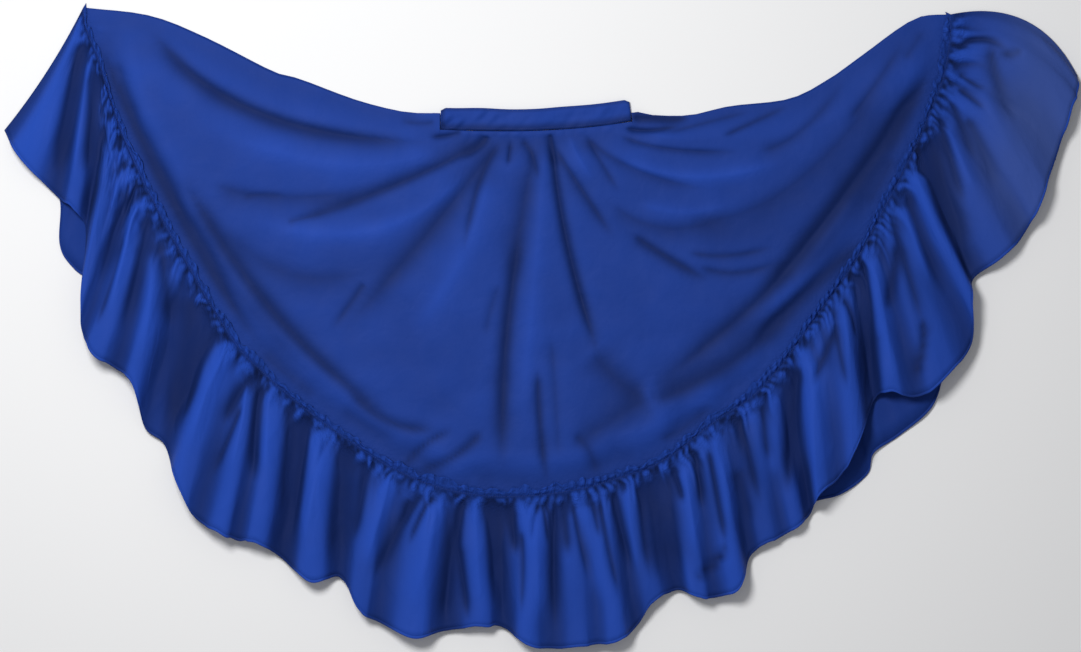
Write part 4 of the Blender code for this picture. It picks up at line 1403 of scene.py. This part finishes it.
def band_painted_shading(around, high):
    """Painted shading of the band: its face painted a little lighter, painted shade most along its lower edge
    and at its two ends.
    """
    from_middle = np.abs(np.mod(2 * around, 1) - 0.5)[:, None] * 2
    edges = painted_shade_past(LOW_EDGE_PAINTED_SHADE, high[None]) + painted_shade_past(TOP_EDGE_PAINTED_SHADE, high[None])
    return np.minimum(BAND_PAINTED_SHADING + edges + painted_shade_past(BAND_END_PAINTED_SHADE, from_middle), DEEPEST_PAINTED_SHADE)


# The panel's and the ruffle's painted shading of hollows: the columns and rows over which their heights are
# averaged, and the metres of depth below that average, and of the tabled creases, that make the painted shade
# deepest
PANEL_PAINTED_SHADING = {"columns": 6, "rows": 4, "deepest": 0.008, "deepest_crease": 0.01}
RUFFLE_PAINTED_SHADING = {"columns": 16, "rows": 1, "deepest_crease": 0.008}
SEAM_PAINTED_SHADE = 0.002  # the same metres for the ruffle's painted shade by its stitches, and what is added past OUTER_DEPTH
OUTER_PAINTED_SHADE = 0.006
OUTER_DEPTH = 0.5  # share of the ruffle's depth
STITCH_PAINTED_SHADE = 0.2  # painted shade that the stitch line adds to the painted shading, and its reach as a share of the depth
STITCH_PAINTED_SHADE_REACH = 0.05
PANEL_PUCKERS = 0.4  # share of crumples by the panel's seam, and their reach in metres
PANEL_PUCKER_REACH = 0.02
RUFFLE_PUCKER_REACH = 0.09  # share of the ruffle's depth
CORNER_PAINTED_LIGHT = 0.75  # how much painted light, shining through the thin cloth, paler and greyer, the front ruffle's right corner shows
CORNER_START, CORNER_FOLDS = 50, 5  # the fold line where that starts, and the folds over which it does
CORNER_DEPTH, CORNER_LESS = 1.6, 0.1  # how fast it comes on down the ruffle, and how much less at the seam


class SkirtPiece:
    bl_options = {"REGISTER", "UNDO"}

    @staticmethod
    def settings(context):
        return context.scene.skirt_sizes, context.scene.skirt_finish


class SKIRT_OT_back_panel(SkirtPiece, bpy.types.Operator):
    """Back panel: a patch between waist, seam and side edges, flat on the floor"""

    bl_idname = "skirt.back_panel"
    bl_label = "Back panel"

    def execute(self, context):
        sizes, finish = self.settings(context)
        across = np.linspace(0, 1, BACK_PANEL_GRID[0])
        surface = back_panel_surface(across, panel_rows(BACK_PANEL_GRID[1], BACK_YOKE_ROWS))
        material = cloth_material("dyed_panel", finish, **PANEL_RUMPLES)
        flat = surface[..., :2]
        piece = cloth_piece(
            "back_panel_cloth", surface, flat, sizes.cloth, material, "skirt_cloth", "back_panel"
        )
        # painted shade over the whole back panel, which lies under the front one
        keep_mask(piece, "painted_shading", np.full(surface.shape[:2], BACK_PAINTED_SHADE))
        return {"FINISHED"}


class SKIRT_OT_back_ruffle(SkirtPiece, bpy.types.Operator):
    """Back ruffle: from the seam to its hem, in low waves on the floor, with its rolled hem"""

    bl_idname = "skirt.back_ruffle"
    bl_label = "Back ruffle"

    def execute(self, context):
        sizes, finish = self.settings(context)
        where = along_folds(BACK_FOLDS, BACK_RUFFLE_GRID[0])[:, None]
        depth = depths(BACK_RUFFLE_GRID[1], 0)[None]
        surface = back_ruffle_surface(where, depth, sizes)
        flat = ruffle_cloth(surface, depth)
        material = cloth_material("dyed_ruffle", finish, **RUFFLE_RUMPLES)
        piece = cloth_piece(
            "back_ruffle_cloth", surface, flat, sizes.cloth, material, "ruffle_cloth", "back_ruffle"
        )
        # painted shade over the whole back ruffle, which lies under the front one
        keep_mask(piece, "painted_shading", np.full(surface.shape[:2], BACK_PAINTED_SHADE))
        sits = (sizes.hem_thickness - sizes.cloth) / 2
        hem = hem_strip("back_hem", surface, sizes, material, "ruffle_cloth", sits)
        # the same painted shade on the back hem
        keep_mask(hem, "painted_shading", np.full(len(hem.data.vertices), BACK_PAINTED_SHADE))
        return {"FINISHED"}


class SKIRT_OT_front_panel(SkirtPiece, bpy.types.Operator):
    """Front panel: the same patch over the back one, with its creases, waist gathers and puckers"""

    bl_idname = "skirt.front_panel"
    bl_label = "Front panel"

    def execute(self, context):
        sizes, finish = self.settings(context)
        across = np.linspace(0, 1, FRONT_PANEL_GRID[0])
        surface = front_panel_surface(across, panel_rows(FRONT_PANEL_GRID[1], FRONT_YOKE_ROWS), sizes)
        material = cloth_material("dyed_panel", finish, **PANEL_RUMPLES)
        flat = surface[..., :2]
        piece = cloth_piece(
            "front_panel_cloth", surface, flat, sizes.cloth, material, "skirt_cloth", "front_panel"
        )
        from_seam = distance(flat, SEAM.points[::SEAM_STEP])
        keep_mask(piece, "pucker", PANEL_PUCKERS * swell(from_seam, PANEL_PUCKER_REACH))
        # painted shading: painted shade in the creases and hollows, painted light on the ridges
        creases = creased(flat, CREASES + SMALL_CREASES)
        keep_mask(piece, "painted_shading", hollows(surface[..., 2], creases=creases, **PANEL_PAINTED_SHADING))
        return {"FINISHED"}


class SKIRT_OT_front_ruffle(SkirtPiece, bpy.types.Operator):
    """Front ruffle: flutes from the seam to the hem, gathers by the stitches, crushed heading, rolled hem"""

    bl_idname = "skirt.front_ruffle"
    bl_label = "Front ruffle"

    def execute(self, context):
        sizes, finish = self.settings(context)
        where = along_folds(FRONT_FOLDS, FRONT_RUFFLE_GRID[0])[:, None]
        depth = depths(FRONT_RUFFLE_GRID[1], HEADING_ROWS)[None]
        surface = front_ruffle_surface(where, depth, sizes)
        flat = ruffle_cloth(surface, depth)
        material = cloth_material("dyed_ruffle", finish, **RUFFLE_RUMPLES)
        piece = cloth_piece(
            "front_ruffle_cloth", surface, flat, sizes.cloth, material, "ruffle_cloth", "front_ruffle"
        )
        everywhere = np.ones(surface.shape[:2])
        # painted light shining through the thin cloth: paler and greyer towards the right corner
        corner = CORNER_PAINTED_LIGHT * smooth((where - CORNER_START) / CORNER_FOLDS)
        corner = corner * smooth(depth * CORNER_DEPTH - CORNER_LESS)
        keep_mask(piece, "painted_light_through", corner * everywhere)
        near_seam = swell(np.maximum(depth, 0), RUFFLE_PUCKER_REACH)
        keep_mask(piece, "pucker", near_seam * everywhere)
        # painted shading: painted shade in the creases and hollows, painted light on the ridges
        creases = creased(surface[..., :2], RUFFLE_CREASES)
        deepest = SEAM_PAINTED_SHADE + OUTER_PAINTED_SHADE * smooth(np.abs(depth) / OUTER_DEPTH)
        painted_shading = hollows(surface[..., 2], deepest=deepest, creases=creases, **RUFFLE_PAINTED_SHADING)
        # painted shade along the stitch line
        painted_shading = painted_shading + STITCH_PAINTED_SHADE * swell(depth, STITCH_PAINTED_SHADE_REACH) * (depth > -1)
        keep_mask(piece, "painted_shading", painted_shading)
        hem = hem_strip("front_hem", surface, sizes, material, "ruffle_cloth", sits=0)
        # the hem carries the painted shading of the ruffle's edge
        keep_mask(hem, "painted_shading", np.repeat(painted_shading[:, -1], HEM_SIDES))
        above = np.array([0, 0, sizes.cloth + sizes.stitch_thickness / 2])
        seam = surface[:, HEADING_ROWS] + above
        rows = [stitch_row(seam, np.tile([0.0, 0, 1], (len(seam), 1)), sizes)]
        sewn = [hem, stitch_piece("seam_stitches", rows, finish, "ruffle_cloth")]
        return {"FINISHED"}


class SKIRT_OT_waistband(SkirtPiece, bpy.types.Operator):
    """Waistband: a flattened loop with a crowned face and wrinkles, topstitched along both edges"""

    bl_idname = "skirt.waistband"
    bl_label = "Waistband"

    STITCHED_ROWS = (1, BAND_GRID[1] - 2)
    UNSTITCHED = 4  # columns at each end

    def execute(self, context):
        sizes, finish = self.settings(context)
        around, high = np.linspace(0, 1, BAND_GRID[0], endpoint=False), np.linspace(0, 1, BAND_GRID[1])
        surface, up = waistband_surface(around, high)
        material = cloth_material("dyed_band", finish, **BAND_RUMPLES, shade=0.95)
        long, tall = np.meshgrid(around * 2 * BAND.length, high * WAISTBAND_HEIGHT, indexing="ij")
        flat = np.stack([long, tall], axis=-1)
        name, cloth = "waistband_cloth", sizes.band_cloth
        piece = cloth_piece(name, surface, flat, cloth, material, "band_cloth", "waistband", closed=True)
        # painted shading: lighter face, painted shade along its edges and at its ends
        keep_mask(piece, "painted_shading", band_painted_shading(around, high))
        front = slice(self.UNSTITCHED, BAND_GRID[0] // 2 - self.UNSTITCHED)
        rows = []
        for row in self.STITCHED_ROWS:
            path = surface[front, row] + up[front, row] * sizes.stitch_thickness / 2
            rows.append(stitch_row(path, up[front, row], sizes))
        stitches = stitch_piece("waistband_stitches", rows, finish, "band_cloth")
        return {"FINISHED"}


FLOOR_HALF_WIDTH = 9
FLOOR_DROP = 0.0003
SKY_COLOUR = (0.97, 0.98, 1, 1)


class SKIRT_OT_stage(SkirtPiece, bpy.types.Operator):
    """Stage: a plain pale floor, one soft light from above, light from all round, the camera"""

    bl_idname = "skirt.stage"
    bl_label = "Stage"

    def execute(self, context):
        setting = context.scene.skirt_stage
        corners = np.array([[-1, -1], [1, -1], [1, 1], [-1, 1]]) * FLOOR_HALF_WIDTH
        points = np.concatenate([corners, np.full((4, 1), -FLOOR_DROP)], axis=1)
        floor = make_mesh("floor", points, np.array([[0, 1, 2, 3]]))
        floor.data.materials.append(plain_material("pale_floor", setting.floor, roughness=0.9))

        lamp = bpy.data.lights.new("main_light", "AREA")
        lamp.shape = "DISK"
        lamp.size = setting.key_size
        lamp.energy = setting.key_power
        light = bpy.data.objects.new("main_light", lamp)
        light.location = setting.key_place
        light.rotation_euler = (-Vector(setting.key_place)).to_track_quat("-Z", "Y").to_euler()
        context.scene.collection.objects.link(light)

        world = bpy.data.worlds.new("all_round_light")
        world.use_nodes = True
        background = world.node_tree.nodes["Background"]
        background.inputs["Color"].default_value = SKY_COLOUR
        background.inputs["Strength"].default_value = setting.sky
        context.scene.world = world
        context.scene.view_settings.view_transform = "Standard"

        view = bpy.data.cameras.new("camera")
        view.lens = setting.lens
        camera = bpy.data.objects.new("camera", view)
        camera.location = (0, 0, PHOTO_WIDTH * PIXEL * setting.lens / view.sensor_width)
        context.scene.collection.objects.link(camera)
        context.scene.camera = camera
        return {"FINISHED"}


PIECES = (
    SKIRT_OT_back_panel,
    SKIRT_OT_back_ruffle,
    SKIRT_OT_front_panel,
    SKIRT_OT_front_ruffle,
    SKIRT_OT_waistband,
    SKIRT_OT_stage,
)
SETTINGS = {"skirt_sizes": SkirtSizes, "skirt_finish": SkirtFinish, "skirt_stage": SkirtStage}


class SKIRT_PT_pieces(bpy.types.Panel):
    bl_idname = "SKIRT_PT_pieces"
    bl_label = "Folklorico skirt"
    bl_space_type = "VIEW_3D"
    bl_region_type = "UI"
    bl_category = "Skirt"

    def draw(self, context):
        for piece in PIECES:
            self.layout.operator(piece.bl_idname)
        for name, group in SETTINGS.items():
            column = self.layout.column(heading=name)
            for setting in group.__annotations__:
                column.prop(getattr(context.scene, name), setting)


def register():
    for group in (*SETTINGS.values(), *PIECES, SKIRT_PT_pieces):
        bpy.utils.register_class(group)
    for name, group in SETTINGS.items():
        setattr(bpy.types.Scene, name, bpy.props.PointerProperty(type=group))


def unregister():
    for name in SETTINGS:
        delattr(bpy.types.Scene, name)
    for group in reversed((*SETTINGS.values(), *PIECES, SKIRT_PT_pieces)):
        bpy.utils.unregister_class(group)


def main():
    register()
    bpy.ops.skirt.back_panel()
    bpy.ops.skirt.back_ruffle()
    bpy.ops.skirt.front_panel()
    bpy.ops.skirt.front_ruffle()
    bpy.ops.skirt.waistband()
    bpy.ops.skirt.stage()


if __name__ == "__main__":
    main()
